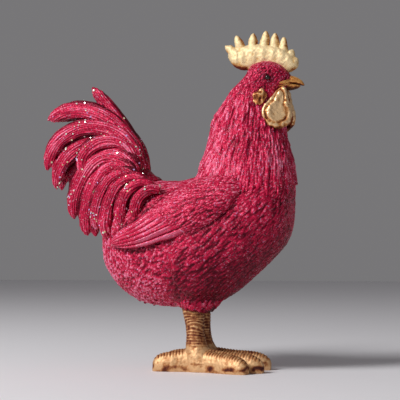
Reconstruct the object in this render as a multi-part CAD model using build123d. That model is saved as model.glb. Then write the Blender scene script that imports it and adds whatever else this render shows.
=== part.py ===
from build123d import *
import math
import os
from typing import NamedTuple

# Cast resin rooster ornament, standing, 34 cm tall. All sizes are in millimetres.
# The bird is modelled about the floor point between its legs: +X to the beak, +Y to its left, +Z up.
# At the end the whole bird is moved so that the origin is the bottom centre of its box.


class Slice(NamedTuple):
    """One upright section across a piece that runs along X."""

    x: float
    z: float
    half_width: float
    up: float
    down: float


class Level(NamedTuple):
    """One level section across a piece that stands along Z."""

    z: float
    x: float
    y: float
    half_depth: float
    half_width: float


class Feather(NamedTuple):
    """A curved feather: four points of its midrib and how far out it lies at root and tip."""

    name: str
    root: tuple
    rise: tuple
    turn: tuple
    tip: tuple
    root_out: float
    tip_out: float
    half_width: float
    half_thickness: float


class WingRib(NamedTuple):
    """One section across the folded wing, square to its length."""

    x: float
    y: float
    z: float
    half_thickness: float
    half_width: float


class Lock(NamedTuple):
    """A main lock of hackles: its place round half the neck, 1 ahead to -1 behind, and the heights of its ends."""

    place: float
    root_z: float
    tip_z: float


class Drop(NamedTuple):
    """A flat hanging bead: its ends, its sections (share, half width, half thickness) and its turn."""

    top: tuple
    foot: tuple
    sections: tuple
    turn: float


class Toe(NamedTuple):
    """A toe: its heading from straight ahead, its reach and its size at the knuckle."""

    heading: float
    reach: float
    half_width: float
    height: float


# Fit between pieces that are glued in sockets
GLUE_GAP = 0.2

# Each half of a smooth ring is one cubic curve, whose corners stand this much higher than its top
CORNER_RISE = 4.0 / 3.0

# Torso, a hollow casting with the pour hole under the neck
TORSO_REAR = (-101.0, 128.0)
TORSO_FRONT = (99.0, 168.0)
TORSO_SLICES = [
    Slice(-96.0, 129.0, 19.0, 27.0, 27.0),
    Slice(-81.0, 130.5, 34.0, 47.0, 49.0),
    Slice(-50.0, 128.0, 46.0, 61.0, 62.5),
    Slice(-15.0, 125.5, 51.0, 63.0, 62.5),
    Slice(20.0, 134.0, 53.0, 63.5, 66.0),
    Slice(51.0, 148.0, 50.0, 56.5, 58.5),
    Slice(76.0, 158.5, 41.0, 44.5, 46.0),
    Slice(92.5, 166.5, 22.0, 23.5, 24.0),
]
TORSO_WALL = 8.0
POUR_HOLE_X = 50.0
POUR_HOLE_RADIUS = 12.0
BOSS_WALL = 6.0

# Thighs, cast with the torso
THIGH_LEVELS = [
    Level(128.0, 12.0, 32.0, 20.0, 14.0),
    Level(106.0, 9.0, 31.0, 27.0, 20.0),
    Level(85.0, 4.0, 22.0, 21.0, 19.0),
    Level(70.0, -1.0, 15.0, 15.0, 14.5),
    Level(63.0, -3.0, 13.0, 12.0, 11.5),
]

# Neck, a cape of hackles that sits on the torso, cast in one with the head
NECK_LEVELS = [
    Level(184.0, 46.0, 0.0, 51.0, 41.5),
    Level(210.0, 49.0, 0.0, 44.0, 36.0),
    Level(236.0, 49.3, 0.0, 37.0, 30.0),
    Level(258.0, 51.5, 0.0, 31.0, 24.5),
    Level(278.0, 60.0, 0.0, 24.0, 17.0),
]

# Main locks of the cape, half sunk in the skin of the neck, whose slope is taken over a small step round it
LOCKS = [
    Lock(0.97, 264.0, 192.0),
    Lock(0.72, 232.0, 194.0),
    Lock(0.4, 236.0, 195.0),
    Lock(0.05, 264.0, 195.0),
    Lock(-0.3, 264.0, 195.0),
    Lock(-0.64, 264.0, 194.0),
    Lock(-0.95, 264.0, 192.0),
]
LOCK_POINT = 7.0
LOCK_HALF_WIDTH = 5.2
LOCK_HALF_DEPTH = 3.6
LOCK_TAPER = 0.7
LOCK_STEP = 0.02

# How far locks and quills stand proud of the skin, and how deep their ends lie under it
RIDGE_PROUD = 1.3
RIDGE_SUNK = 2.0

# Head
HEAD_REAR = (39.0, 281.0)
HEAD_FRONT = (94.0, 286.0)
HEAD_SLICES = [
    Slice(46.0, 284.0, 14.5, 9.0, 15.0),
    Slice(54.0, 286.5, 19.0, 15.0, 20.0),
    Slice(67.0, 288.0, 20.5, 17.5, 20.0),
    Slice(79.0, 288.0, 18.5, 15.5, 15.5),
    Slice(89.0, 287.0, 12.0, 9.0, 10.0),
]

# Comb, a separate casting let into the crown
COMB_REAR = (29.0, 311.0)
COMB_FRONT = (99.5, 303.0)
COMB_SLICES = [
    Slice(36.0, 309.5, 4.8, 11.0, 8.0),
    Slice(48.0, 309.5, 5.8, 12.5, 12.0),
    Slice(59.0, 312.5, 6.0, 10.5, 13.0),
    Slice(72.0, 312.5, 6.0, 8.5, 13.0),
    Slice(83.0, 308.5, 6.0, 9.5, 13.0),
    Slice(92.0, 303.0, 5.6, 8.5, 9.0),
    Slice(97.5, 303.0, 4.0, 5.5, 6.5),
]
COMB_POINTS = [
    ((38.0, 313.0), (26.4, 323.0)),
    ((44.0, 314.5), (37.6, 332.5)),
    ((54.5, 315.5), (55.0, 334.0)),
    ((65.5, 315.5), (68.0, 335.5)),
    ((76.0, 313.5), (77.2, 333.0)),
    ((84.5, 309.5), (86.0, 328.5)),
    ((91.5, 304.0), (94.4, 316.5)),
]
COMB_POINT_HALF_DEPTH = 6.0
COMB_POINT_HALF_THICKNESS = 4.4

# Beak, two halves let into the face
UPPER_BEAK_SLICES = [
    Slice(83.0, 283.4, 9.5, 6.0, 1.2),
    Slice(90.5, 283.4, 8.4, 7.0, 1.2),
    Slice(97.0, 283.2, 6.2, 5.4, 1.2),
    Slice(102.5, 282.2, 3.6, 3.2, 1.4),
]
UPPER_BEAK_TIP = (106.0, 280.0)
LOWER_BEAK_SLICES = [
    Slice(83.0, 280.8, 8.8, 0.9, 5.2),
    Slice(90.0, 280.6, 7.2, 0.9, 4.6),
    Slice(97.0, 280.3, 4.8, 0.8, 3.2),
]
LOWER_BEAK_TIP = (102.0, 279.7)

# Eyes, glass beads
EYE_RADIUS = 3.1
EYE_CENTRE = (73.0, 18.0, 286.5)

# Ear lobes, flat beads on the cheeks
LOBE = Drop((69.0, 19.0, 275.5), (61.0, 21.5, 259.5), ((0.2, 4.2, 3.2), (0.5, 6.0, 4.2), (0.8, 4.6, 3.4)), 12.0)

# Wattles, a pair of hanging lobes with a raised rim round a dished face
WATTLE = Drop(
    (86.5, 10.0, 278.0),
    (79.5, 18.5, 239.0),
    ((0.12, 4.6, 3.6), (0.38, 9.5, 4.4), (0.66, 14.5, 4.8), (0.88, 12.0, 4.2)),
    25.0,
)
WATTLE_RIM = 3.2
WATTLE_DISH = 2.2

# Wings, folded against the torso
WING_SHOULDER = (57.0, 34.0, 184.0)
WING_TIP = (-80.0, 39.0, 125.0)
WING_ROLL = 36.0
WING_RIBS = [
    WingRib(47.0, 36.5, 180.0, 9.5, 14.0),
    WingRib(28.0, 39.5, 171.0, 13.5, 24.0),
    WingRib(0.0, 40.0, 158.0, 14.5, 27.0),
    WingRib(-28.0, 40.5, 146.0, 12.5, 23.5),
    WingRib(-52.0, 40.0, 136.0, 9.0, 18.5),
    WingRib(-70.0, 39.5, 128.5, 5.5, 10.0),
]

# Long quills on the rear of each wing, by their place across it, 1 at its lower edge, and the ribs they run over
QUILLS = [0.72, 0.48, 0.25, 0.03]
QUILL_RIBS = WING_RIBS[2:]
QUILL_HALF_WIDTH = 2.6
QUILL_HALF_DEPTH = 1.9

# Legs and feet, one casting each, round a steel rod
LEG_LEVELS = [
    Level(82.0, -4.0, 13.0, 9.0, 8.5),
    Level(66.0, -4.5, 13.0, 11.0, 10.0),
    Level(46.0, -2.0, 12.5, 9.2, 9.0),
    Level(30.0, -0.5, 13.0, 9.6, 9.4),
    Level(10.0, 5.0, 14.0, 17.0, 12.5),
    Level(-4.0, 5.0, 14.0, 16.0, 11.5),
]
ANKLE = (2.0, 14.5)
TOES = [
    Toe(-22.0, 58.0, 8.5, 21.0),
    Toe(-3.0, 66.0, 8.0, 22.0),
    Toe(11.0, 47.0, 6.0, 19.0),
    Toe(186.0, 45.0, 8.8, 22.0),
]
TOE_TAPER = [(0.0, 1.0, 1.0), (0.35, 0.95, 0.93), (0.65, 1.0, 0.86), (0.9, 0.84, 0.7), (1.0, 0.45, 0.42)]
TOE_BELLY = 4.0
TOE_DEPTH = 5.0
ROD_RADIUS = 3.0
ROD_X = -2.0
ROD_SPREAD = 13.0
ROD_FOOT = 8.0
ROD_TOP = 108.0

# Tail core, a flat fan that carries the tail feathers and is pegged into the torso
CORE_RIBS = [
    ((-48.0, 178.0), 12.0, 15.0),
    ((-70.0, 191.0), 12.0, 24.0),
    ((-96.0, 206.0), 9.5, 40.0),
    ((-119.0, 217.0), 6.5, 38.0),
    ((-132.0, 224.0), 3.5, 23.0),
]
CORE_EDGE = (-138.0, 227.0)
PEG_RADIUS = 7.0
PEG_START = (-20.0, 166.0)

# Tail feathers of the right side, the mirror of the left
CREST = Feather("crest_feather", (-54.0, 186.0), (-67.0, 221.0), (-90.0, 256.0), (-115.5, 288.0), 0.0, 0.0, 8.5, 6.5)
FEATHERS = [
    Feather("top_sickle", (-60.0, 200.0), (-87.0, 246.0), (-124.0, 262.5), (-162.5, 253.0), 6.5, 5.0, 10.5, 5.5),
    Feather("great_sickle", (-62.0, 200.0), (-100.0, 243.0), (-143.0, 234.0), (-160.0, 200.0), 13.0, 9.0, 9.5, 6.5),
    Feather("under_sickle", (-68.0, 198.0), (-108.0, 228.0), (-139.0, 213.0), (-150.5, 181.0), 9.0, 7.0, 9.5, 6.5),
    Feather("short_sickle", (-66.0, 196.0), (-86.0, 229.0), (-114.0, 219.0), (-116.0, 193.0), 14.0, 17.0, 8.5, 6.0),
    Feather("tail_covert_1", (-62.0, 194.0), (-97.0, 213.0), (-121.0, 190.0), (-129.0, 150.0), 17.0, 11.0, 10.0, 7.0),
    Feather("tail_covert_2", (-62.0, 189.0), (-91.0, 202.0), (-109.0, 179.0), (-114.0, 133.0), 19.0, 12.0, 10.0, 7.0),
    Feather("tail_covert_3", (-58.0, 185.0), (-79.0, 194.0), (-97.0, 174.0), (-102.0, 139.0), 24.0, 19.0, 8.5, 6.5),
    Feather("saddle_feather_1", (-47.0, 184.0), (-69.0, 187.0), (-84.0, 168.0), (-87.0, 129.0), 27.0, 31.0, 8.0, 7.0),
    Feather("saddle_feather_2", (-40.0, 181.0), (-57.0, 182.0), (-69.0, 166.0), (-69.0, 142.0), 31.0, 38.0, 7.5, 7.0),
    Feather("saddle_feather_3", (-31.0, 178.0), (-44.0, 176.0), (-53.0, 164.0), (-54.0, 150.0), 35.0, 42.0, 7.0, 6.5),
]
FEATHER_OUTLINE = [(0.0, 0.55), (0.25, 0.8), (0.55, 1.0), (0.82, 0.85), (0.94, 0.5)]


def ring(plane, half_width, up, down):
    """A closed smooth section on a plane: half_width to each side, up and down from its middle."""
    halves = []
    for side, height in ((half_width, up * CORNER_RISE), (-half_width, -down * CORNER_RISE)):
        corners = [(side, 0.0), (side, height), (-side, height), (-side, 0.0)]
        halves.append(Bezier([plane.from_local_coords(Vector(x, y, 0.0)) for x, y in corners]))
    return Face(Wire(halves))


def ring_depth(place):
    """How far to the side a ring reaches at a place between its ends, 1 and -1, as a share of its half width."""
    return place * (3.0 - place * place) / 2.0


def upright(slice_, inset=0.0):
    """The ring of an upright slice, drawn in by an inset all round."""
    plane = Plane(origin=(slice_.x, 0, slice_.z), x_dir=(0, 1, 0), z_dir=(1, 0, 0))
    return ring(plane, slice_.half_width - inset, slice_.up - inset, slice_.down - inset)


def level(section):
    """The ring of a level section, on the right side of the bird."""
    plane = Plane(origin=(section.x, -section.y, section.z))
    return ring(plane, section.half_depth, section.half_width, section.half_width)


def along(spine, share, half_thickness, half_width):
    """A ring square to a spine, thin across the bird and wide in the spine's own bend."""
    origin = spine.position_at(share)
    heading = spine.tangent_at(share)
    across = Vector(0, 1, 0) - heading * heading.Y
    return ring(Plane(origin=origin, x_dir=across, z_dir=heading), half_thickness, half_width, half_width)


def in_mid_plane(point):
    """The corner of the mid-plane at a point's x and z."""
    return Vertex(point[0], 0, point[1])


def boxes_meet(piece, other):
    """Whether the boxes of two pieces share any room."""
    a, b = piece.bounding_box(), other.bounding_box()
    gaps = [max(a.min.X - b.max.X, b.min.X - a.max.X), max(a.min.Y - b.max.Y, b.min.Y - a.max.Y)]
    gaps.append(max(a.min.Z - b.max.Z, b.min.Z - a.max.Z))
    return max(gaps) < 0.0


def trim(piece, *neighbours):
    """The largest solid that is left of a piece once its neighbours have taken their room."""
    for neighbour in neighbours:
        if boxes_meet(piece, neighbour):
            piece = max(piece.cut(neighbour).solids(), key=lambda solid: solid.volume)
    return piece


def ridged(piece, ridges):
    """A piece with ridges cast on."""
    for ridge in ridges:
        piece = piece.fuse(ridge).solid()
    return piece


def other_side(piece):
    """The same piece on the bird's left."""
    return mirror(piece, about=Plane.XZ)


def torso_blank():
    """The plain egg of the torso, which the neck, the wings and the tail lie on."""
    return loft([in_mid_plane(TORSO_REAR), *[upright(s) for s in TORSO_SLICES], in_mid_plane(TORSO_FRONT)])


def thigh():
    """The right thigh, down to the top of the shank."""
    return loft([level(section) for section in THIGH_LEVELS])


def rod():
    """The right leg's steel rod, from the foot up into the torso."""
    return Pos(ROD_X, -ROD_SPREAD, ROD_FOOT) * extrude(Circle(ROD_RADIUS), ROD_TOP - ROD_FOOT)


def rod_boss():
    """The lump of resin inside the torso that holds the top of the right rod."""
    foot = THIGH_LEVELS[-1].z
    boss = extrude(Circle(ROD_RADIUS + BOSS_WALL), ROD_TOP + BOSS_WALL - foot)
    return Pos(ROD_X, -ROD_SPREAD, foot) * boss


def peg(radius, overrun):
    """A round peg on the tail's axis, from inside the torso to the root of the core."""
    start = Vector(PEG_START[0], 0, PEG_START[1])
    root = CORE_RIBS[1][0]
    reach = Vector(root[0], 0, root[1]) - start
    plane = Plane(origin=start - reach.normalized() * overrun, x_dir=(0, 1, 0), z_dir=reach)
    return extrude(plane * Circle(radius), reach.length + overrun)


def pour_plug(radius):
    """A round plug in the pour hole, from inside the torso up into the neck."""
    return Pos(POUR_HOLE_X, 0, TORSO_SLICES[5].z) * extrude(Circle(radius), NECK_LEVELS[1].z - TORSO_SLICES[5].z)


def torso_void():
    """The hollow of the torso, less the bosses for the rods and the tail peg."""
    middle = (TORSO_REAR[0] + TORSO_FRONT[0]) / 2.0
    half_length = (TORSO_FRONT[0] - TORSO_REAR[0]) / 2.0
    drawn_in = (half_length - TORSO_WALL) / half_length
    slices = [slice_._replace(x=middle + (slice_.x - middle) * drawn_in) for slice_ in TORSO_SLICES]
    rear = in_mid_plane((TORSO_REAR[0] + TORSO_WALL, TORSO_REAR[1]))
    front = in_mid_plane((TORSO_FRONT[0] - TORSO_WALL, TORSO_FRONT[1]))
    hollow = loft([rear, *[upright(slice_, TORSO_WALL) for slice_ in slices], front])
    boss = rod_boss()
    return trim(hollow, boss, other_side(boss), peg(PEG_RADIUS + BOSS_WALL, BOSS_WALL))


def wing_axes():
    """The right wing's directions: along it to the tip, out of its face and down across its width."""
    roll = math.radians(WING_ROLL)
    lean = Vector(0, -math.cos(roll), math.sin(roll))
    heading = Vector(WING_RIBS[-1].x - WING_RIBS[0].x, 0, WING_RIBS[-1].z - WING_RIBS[0].z).normalized()
    outward = (lean - heading * lean.dot(heading)).normalized()
    return heading, outward, outward.cross(heading)


def wing():
    """The right wing, a long lens rolled to lie on the torso's side."""
    heading, outward, _ = wing_axes()
    sections = []
    for rib in WING_RIBS:
        plane = Plane(origin=(rib.x, -rib.y, rib.z), x_dir=outward, z_dir=heading)
        sections.append(ring(plane, rib.half_thickness, rib.half_width, rib.half_width))
    shoulder = Vertex(WING_SHOULDER[0], -WING_SHOULDER[1], WING_SHOULDER[2])
    tip = Vertex(WING_TIP[0], -WING_TIP[1], WING_TIP[2])
    return loft([shoulder, *sections, tip])


def quill(place):
    """One quill on the face of the right wing, half sunk in its skin, with both ends under it."""
    heading, outward, down = wing_axes()
    turn = math.sqrt(1.0 - abs(place))
    skin = []
    sections = []
    for rib in QUILL_RIBS:
        out = outward * rib.half_thickness * ring_depth(turn)
        skin.append(Vector(rib.x, -rib.y, rib.z) + out + down * rib.half_width * place)
        # Square to the ring's curve, which is ring_depth(turn) out and 1 - turn * turn down
        face = (outward * 2.0 * rib.half_width * turn + down * 1.5 * rib.half_thickness * place).normalized()
        origin = skin[-1] + face * (RIDGE_PROUD - QUILL_HALF_DEPTH)
        plane = Plane(origin=origin, x_dir=face.cross(heading), z_dir=heading)
        sections.append(ring(plane, QUILL_HALF_WIDTH, QUILL_HALF_DEPTH, QUILL_HALF_DEPTH))
    start = skin[0] - outward * RIDGE_SUNK
    end = skin[-1] - outward * RIDGE_SUNK
    return loft([Vertex(*start), *sections[1:-1], Vertex(*end)])


def neck_blank():
    """The neck before the torso is cut out of its foot."""
    return loft([level(section) for section in NECK_LEVELS])


def on_neck(z, place):
    """The point of the right half of the neck's skin at a height and a place round it."""
    low, high = next(pair for pair in zip(NECK_LEVELS, NECK_LEVELS[1:]) if pair[0].z <= z <= pair[1].z)
    share = (z - low.z) / (high.z - low.z)
    x = low.x + (high.x - low.x) * share
    half_depth = low.half_depth + (high.half_depth - low.half_depth) * share
    half_width = low.half_width + (high.half_width - low.half_width) * share
    return Vector(x + half_depth * ring_depth(place), half_width * (place * place - 1.0), z)


def lock(shape):
    """One lock on the right of the neck, half sunk in its skin, with both ends under it."""
    foot = shape.tip_z + LOCK_POINT
    fall = (on_neck(shape.tip_z, shape.place) - on_neck(shape.root_z, shape.place)).normalized()
    heights = [section.z for section in reversed(NECK_LEVELS) if foot < section.z < shape.root_z]
    sections = []
    for z, size in [*[(height, 1.0) for height in heights], (foot, LOCK_TAPER)]:
        skin = on_neck(z, shape.place)
        behind = on_neck(z, shape.place - LOCK_STEP)
        outward = fall.cross(skin - behind).normalized()
        origin = skin + outward * (RIDGE_PROUD - LOCK_HALF_DEPTH)
        plane = Plane(origin=origin, x_dir=outward.cross(fall), z_dir=fall)
        sections.append(ring(plane, LOCK_HALF_WIDTH * size, LOCK_HALF_DEPTH, LOCK_HALF_DEPTH))
    root = on_neck(shape.root_z, shape.place) - outward * RIDGE_SUNK
    tip = on_neck(shape.tip_z, shape.place) - outward * RIDGE_SUNK
    return loft([Vertex(*root), *sections, Vertex(*tip)])


def head_blank():
    """The plain egg of the head, which the comb, beak, lobes and wattles lie on."""
    return loft([in_mid_plane(HEAD_REAR), *[upright(s) for s in HEAD_SLICES], in_mid_plane(HEAD_FRONT)])


def comb():
    """The comb: a thick curved blade with a row of round tapered points."""
    blade = loft([in_mid_plane(COMB_REAR), *[upright(s) for s in COMB_SLICES], in_mid_plane(COMB_FRONT)])
    points = [comb_point(base, tip) for base, tip in COMB_POINTS]
    return blade.fuse(*points).solid()


def comb_point(base, tip):
    """One point of the comb, round and tapered from its base to its tip."""
    spine = Line((base[0], 0, base[1]), (tip[0], 0, tip[1]))
    taper = [(0.0, 1.0), (0.45, 0.72), (0.85, 0.36)]
    sections = []
    for share, size in taper:
        sections.append(along(spine, share, COMB_POINT_HALF_THICKNESS * size, COMB_POINT_HALF_DEPTH * size))
    return loft([*sections, in_mid_plane(tip)])


def beak_half(slices, tip):
    """One half of the beak, from inside the face to its tip."""
    return loft([*[upright(s) for s in slices], in_mid_plane(tip)])


def eye():
    """The right eye."""
    return Pos(EYE_CENTRE[0], -EYE_CENTRE[1], EYE_CENTRE[2]) * Sphere(EYE_RADIUS)


def drop(shape, inset, out):
    """A flat drop on the right side, drawn in by an inset and moved outward."""
    outward = Vector(0, -1, 0).rotate(Axis.Z, shape.turn)
    top = Vector(shape.top[0], -shape.top[1], shape.top[2]) + outward * out
    foot = Vector(shape.foot[0], -shape.foot[1], shape.foot[2]) + outward * out
    fall = (foot - top).normalized()
    top += fall * inset
    foot -= fall * inset
    across = outward - fall * outward.dot(fall)
    sections = []
    for share, half_width, half_thickness in shape.sections:
        plane = Plane(origin=top + (foot - top) * share, x_dir=across, z_dir=fall)
        sections.append(ring(plane, half_thickness, half_width - inset, half_width - inset))
    return loft([Vertex(*top), *sections, Vertex(*foot)])


def wattle():
    """The right wattle, a drop with a dished outer face inside its rim."""
    reach = max(half_thickness for _, _, half_thickness in WATTLE.sections)
    return trim(drop(WATTLE, 0.0, 0.0), drop(WATTLE, WATTLE_RIM, 2.0 * reach - WATTLE_DISH))


def above_floor(piece):
    """What stands above the floor of a piece that was drawn through it."""
    size = piece.bounding_box().size.length
    below = Pos(piece.center()) * Box(2.0 * size, 2.0 * size, size)
    lowest = below.bounding_box().max.Z
    return trim(piece, Pos(0, 0, -lowest) * below)


def toe(shape):
    """One toe from the ankle to its blunt claw, flat on the floor and widest a little above it."""
    heading = Vector(1, 0, 0).rotate(Axis.Z, shape.heading)
    across = Vector(0, 0, 1).cross(heading)
    ankle = Vector(ANKLE[0], -ANKLE[1], TOE_BELLY)
    sections = []
    for share, width, height in TOE_TAPER:
        plane = Plane(origin=ankle + heading * shape.reach * share, x_dir=across, z_dir=heading)
        up = shape.height * height - TOE_BELLY
        sections.append(ring(plane, shape.half_width * width, up, TOE_BELLY + TOE_DEPTH))
    return above_floor(loft(sections))


def shank():
    """The right shank, from inside the thigh down into the foot."""
    return loft([level(section) for section in reversed(LEG_LEVELS)])


def leg():
    """The right leg: shank, toes and flat sole, bored for its rod."""
    foot = above_floor(shank()).fuse(*[toe(shape) for shape in TOES])
    return trim(foot.solid(), rod())


def tail_core():
    """The fan under the tail feathers, with its peg."""
    ribs = [Vector(point[0], 0, point[1]) for point, _, _ in CORE_RIBS]
    heading = (ribs[-1] - ribs[0]).normalized()
    sections = []
    for origin, (_, half_thickness, half_height) in zip(ribs, CORE_RIBS):
        plane = Plane(origin=origin, x_dir=(0, 1, 0), z_dir=heading)
        sections.append(ring(plane, half_thickness, half_height, half_height))
    return loft([*sections, in_mid_plane(CORE_EDGE)])


def feather(shape):
    """One right-hand tail feather before its neighbours are cut out of it."""
    outs = [shape.root_out + (shape.tip_out - shape.root_out) * share for share in (0.0, 0.33, 0.67, 1.0)]
    points = [shape.root, shape.rise, shape.turn, shape.tip]
    spine = Spline([(x, -out, z) for (x, z), out in zip(points, outs)])
    sections = []
    for share, size in FEATHER_OUTLINE:
        sections.append(along(spine, share, shape.half_thickness * size, shape.half_width * size))
    return loft([*sections, Vertex(*spine.position_at(1.0))])


def torso():
    """The hollow torso with its thighs, bored for the shanks, the rods, the neck and the tail."""
    skin = torso_blank().fuse(thigh(), other_side(thigh())).solid()
    bores = [rod(), other_side(rod()), shank(), other_side(shank())]
    bores += [pour_plug(POUR_HOLE_RADIUS), peg(PEG_RADIUS + GLUE_GAP, GLUE_GAP)]
    return trim(skin, torso_void(), *bores)


def build():
    """Every piece of the bird by its name, in the modelling frame."""
    pieces = {"torso": torso()}

    def both(name, piece):
        pieces["right_" + name] = piece
        pieces["left_" + name] = other_side(piece)

    egg = torso_blank()
    neck = neck_blank()
    head = head_blank()
    upper_beak = beak_half(UPPER_BEAK_SLICES, UPPER_BEAK_TIP)
    lower_beak = beak_half(LOWER_BEAK_SLICES, LOWER_BEAK_TIP)
    pieces["comb"] = trim(comb(), head, upper_beak)
    both("leg", leg())
    both("leg_rod", rod())
    both("wing", ridged(trim(wing(), egg, neck), [quill(place) for place in QUILLS]))

    cape = trim(neck, egg)
    plug = trim(pour_plug(POUR_HOLE_RADIUS - GLUE_GAP), cape)
    locks = [lock(shape) for shape in LOCKS]
    bare = cape.fuse(head, plug).solid()
    pieces["head_and_neck"] = ridged(bare, locks + [other_side(ridge) for ridge in locks])
    pieces["upper_beak"] = trim(upper_beak, head)
    pieces["lower_beak"] = trim(lower_beak, head, upper_beak)
    both("eye", trim(eye(), head))
    both("ear_lobe", trim(drop(LOBE, 0.0, 0.0), head, neck))
    both("wattle", trim(wattle(), head, neck, lower_beak))

    pieces["tail_core"] = trim(tail_core(), egg).fuse(peg(PEG_RADIUS, 0.0)).solid()
    laid = [egg, wing(), tail_core()]
    pieces[CREST.name] = trim(feather(CREST), *laid)
    laid.append(feather(CREST))
    for shape in FEATHERS:
        blank = feather(shape)
        both(shape.name, trim(blank, *laid))
        laid.append(blank)
    return pieces


def to_bottom_centre(pieces):
    """The pieces moved so that the origin is the bottom centre of the whole bird's box."""
    box = Compound(list(pieces.values())).bounding_box()
    shift = Pos(-box.center().X, -box.center().Y, -box.min.Z)
    return {name: shift * piece for name, piece in pieces.items()}


os.makedirs("parts", exist_ok=True)
for name, piece in to_bottom_centre(build()).items():
    export_step(piece, "parts/" + name + ".step")
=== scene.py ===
import itertools
import logging
import math
from dataclasses import dataclass
from enum import Enum

import bmesh
import bpy
import numpy as np
from mathutils import Matrix, Vector
from mathutils.bvhtree import BVHTree


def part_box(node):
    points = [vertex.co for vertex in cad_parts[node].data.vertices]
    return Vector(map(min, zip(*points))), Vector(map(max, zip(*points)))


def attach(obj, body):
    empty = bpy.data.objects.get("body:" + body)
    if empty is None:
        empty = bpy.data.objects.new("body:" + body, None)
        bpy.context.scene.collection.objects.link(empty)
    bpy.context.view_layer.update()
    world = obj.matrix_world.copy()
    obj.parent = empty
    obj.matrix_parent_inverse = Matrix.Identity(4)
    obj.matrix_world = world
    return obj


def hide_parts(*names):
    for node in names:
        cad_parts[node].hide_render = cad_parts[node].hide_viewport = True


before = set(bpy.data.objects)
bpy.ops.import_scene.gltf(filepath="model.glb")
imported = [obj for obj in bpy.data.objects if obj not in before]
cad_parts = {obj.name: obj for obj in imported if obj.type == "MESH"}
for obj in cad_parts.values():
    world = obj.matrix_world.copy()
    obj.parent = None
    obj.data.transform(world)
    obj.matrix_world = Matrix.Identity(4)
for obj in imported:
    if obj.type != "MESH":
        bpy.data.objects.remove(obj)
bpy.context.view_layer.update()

LOG = logging.getLogger("rooster")
MM = 0.001
SEED = 41
BODY = "root"

# The leg rods stand this far behind the point that the plumage is measured from
ROD_BEHIND_MM = 2.0
_rod_low, _rod_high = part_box("right_leg_rod")
LEG_AXIS_MM = np.array([(_rod_low.x + _rod_high.x) / 2.0 / MM + ROD_BEHIND_MM, 0.0, 0.0])


class Side(Enum):
    """The two sides of the bird, with the sign of their Y."""

    RIGHT = -1.0
    LEFT = 1.0

    def named(self, piece: str) -> str:
        """The node of a piece on this side."""
        return f"{self.name.lower()}_{piece}"


class Slot(Enum):
    """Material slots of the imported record."""

    RESIN = "crimson_glitter_resin"
    LEAF = "gold_leaf"
    LEG_GOLD = "antique_gold"
    BEAK_GOLD = "ochre_gold"
    EYE = "eye_glass"


def linear(hex_colour: str) -> tuple[float, float, float, float]:
    """Turns an sRGB hex colour to linear light.

    Args:
        hex_colour: six hex digits.

    Returns:
        Linear red, green, blue and full alpha.
    """
    parts = [int(hex_colour[i:i + 2], 16) / 255.0 for i in (0, 2, 4)]
    light = [c / 12.92 if c <= 0.04045 else ((c + 0.055) / 1.055) ** 2.4 for c in parts]
    return (light[0], light[1], light[2], 1.0)


def smooth_step(values: np.ndarray) -> np.ndarray:
    """Eases values from 0 at 0 to 1 at 1.

    Args:
        values: any numbers.

    Returns:
        Eased numbers from 0 to 1.
    """
    t = np.clip(values, 0.0, 1.0)
    return t * t * (3.0 - 2.0 * t)


def bell(values: np.ndarray) -> np.ndarray:
    """A smooth hump of height 1 at 0 that has faded away at 2."""
    return np.exp(-values * values)


@dataclass(frozen=True)
class Ramp:
    """A smooth rise from 0 to 1 over a length from its start, or backwards where the length is below 0."""

    start: float
    length: float

    def at(self, values: np.ndarray) -> np.ndarray:
        """The rise at some values."""
        return smooth_step((values - self.start) / self.length)


@dataclass(frozen=True)
class Hump:
    """A smooth hump of height 1 round a place."""

    middle: float
    width: float

    def at(self, values: np.ndarray) -> np.ndarray:
        """The hump at some values."""
        return bell((values - self.middle) / self.width)


def segment_distance(points: np.ndarray, start: np.ndarray, end: np.ndarray) -> np.ndarray:
    """Distance of points from a straight segment.

    Args:
        points: rows of coordinates.
        start: one end of the segment.
        end: its other end.

    Returns:
        One distance for each row.
    """
    run = end - start
    share = np.clip((points - start) @ run / (run @ run), 0.0, 1.0)
    return np.linalg.norm(points - start - share[:, None] * run, axis=1)


def along_surface(flow: np.ndarray, normals: np.ndarray) -> np.ndarray:
    """Lays directions flat on a surface.

    Args:
        flow: one direction for each point.
        normals: the surface's normals there.

    Returns:
        Unit directions square to the normals.
    """
    flat = flow - (flow * normals).sum(1, keepdims=True) * normals
    return flat / np.maximum(np.linalg.norm(flat, axis=1, keepdims=True), 1e-6)


class Grain:
    """Smooth random values over space, the same on each run."""

    SIDE = 64

    def __init__(self, seed: int) -> None:
        """Fills the lattice from a seed."""
        self.lattice = np.random.default_rng(seed).uniform(-1.0, 1.0, (self.SIDE,) * 3)

    def at(self, points: np.ndarray) -> np.ndarray:
        """Reads the grain at points given in grain widths.

        Args:
            points: rows of three coordinates.

        Returns:
            Values from -1 to 1.
        """
        low = np.floor(points).astype(np.int64)
        share = smooth_step(points - low)
        total = np.zeros(len(points))
        for corner in itertools.product((0, 1), repeat=3):
            weight = np.prod(np.where(corner, share, 1.0 - share), axis=1)
            x, y, z = ((low + corner) % self.SIDE).T
            total += weight * self.lattice[x, y, z]
        return total


GRAIN = Grain(SEED)


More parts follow.
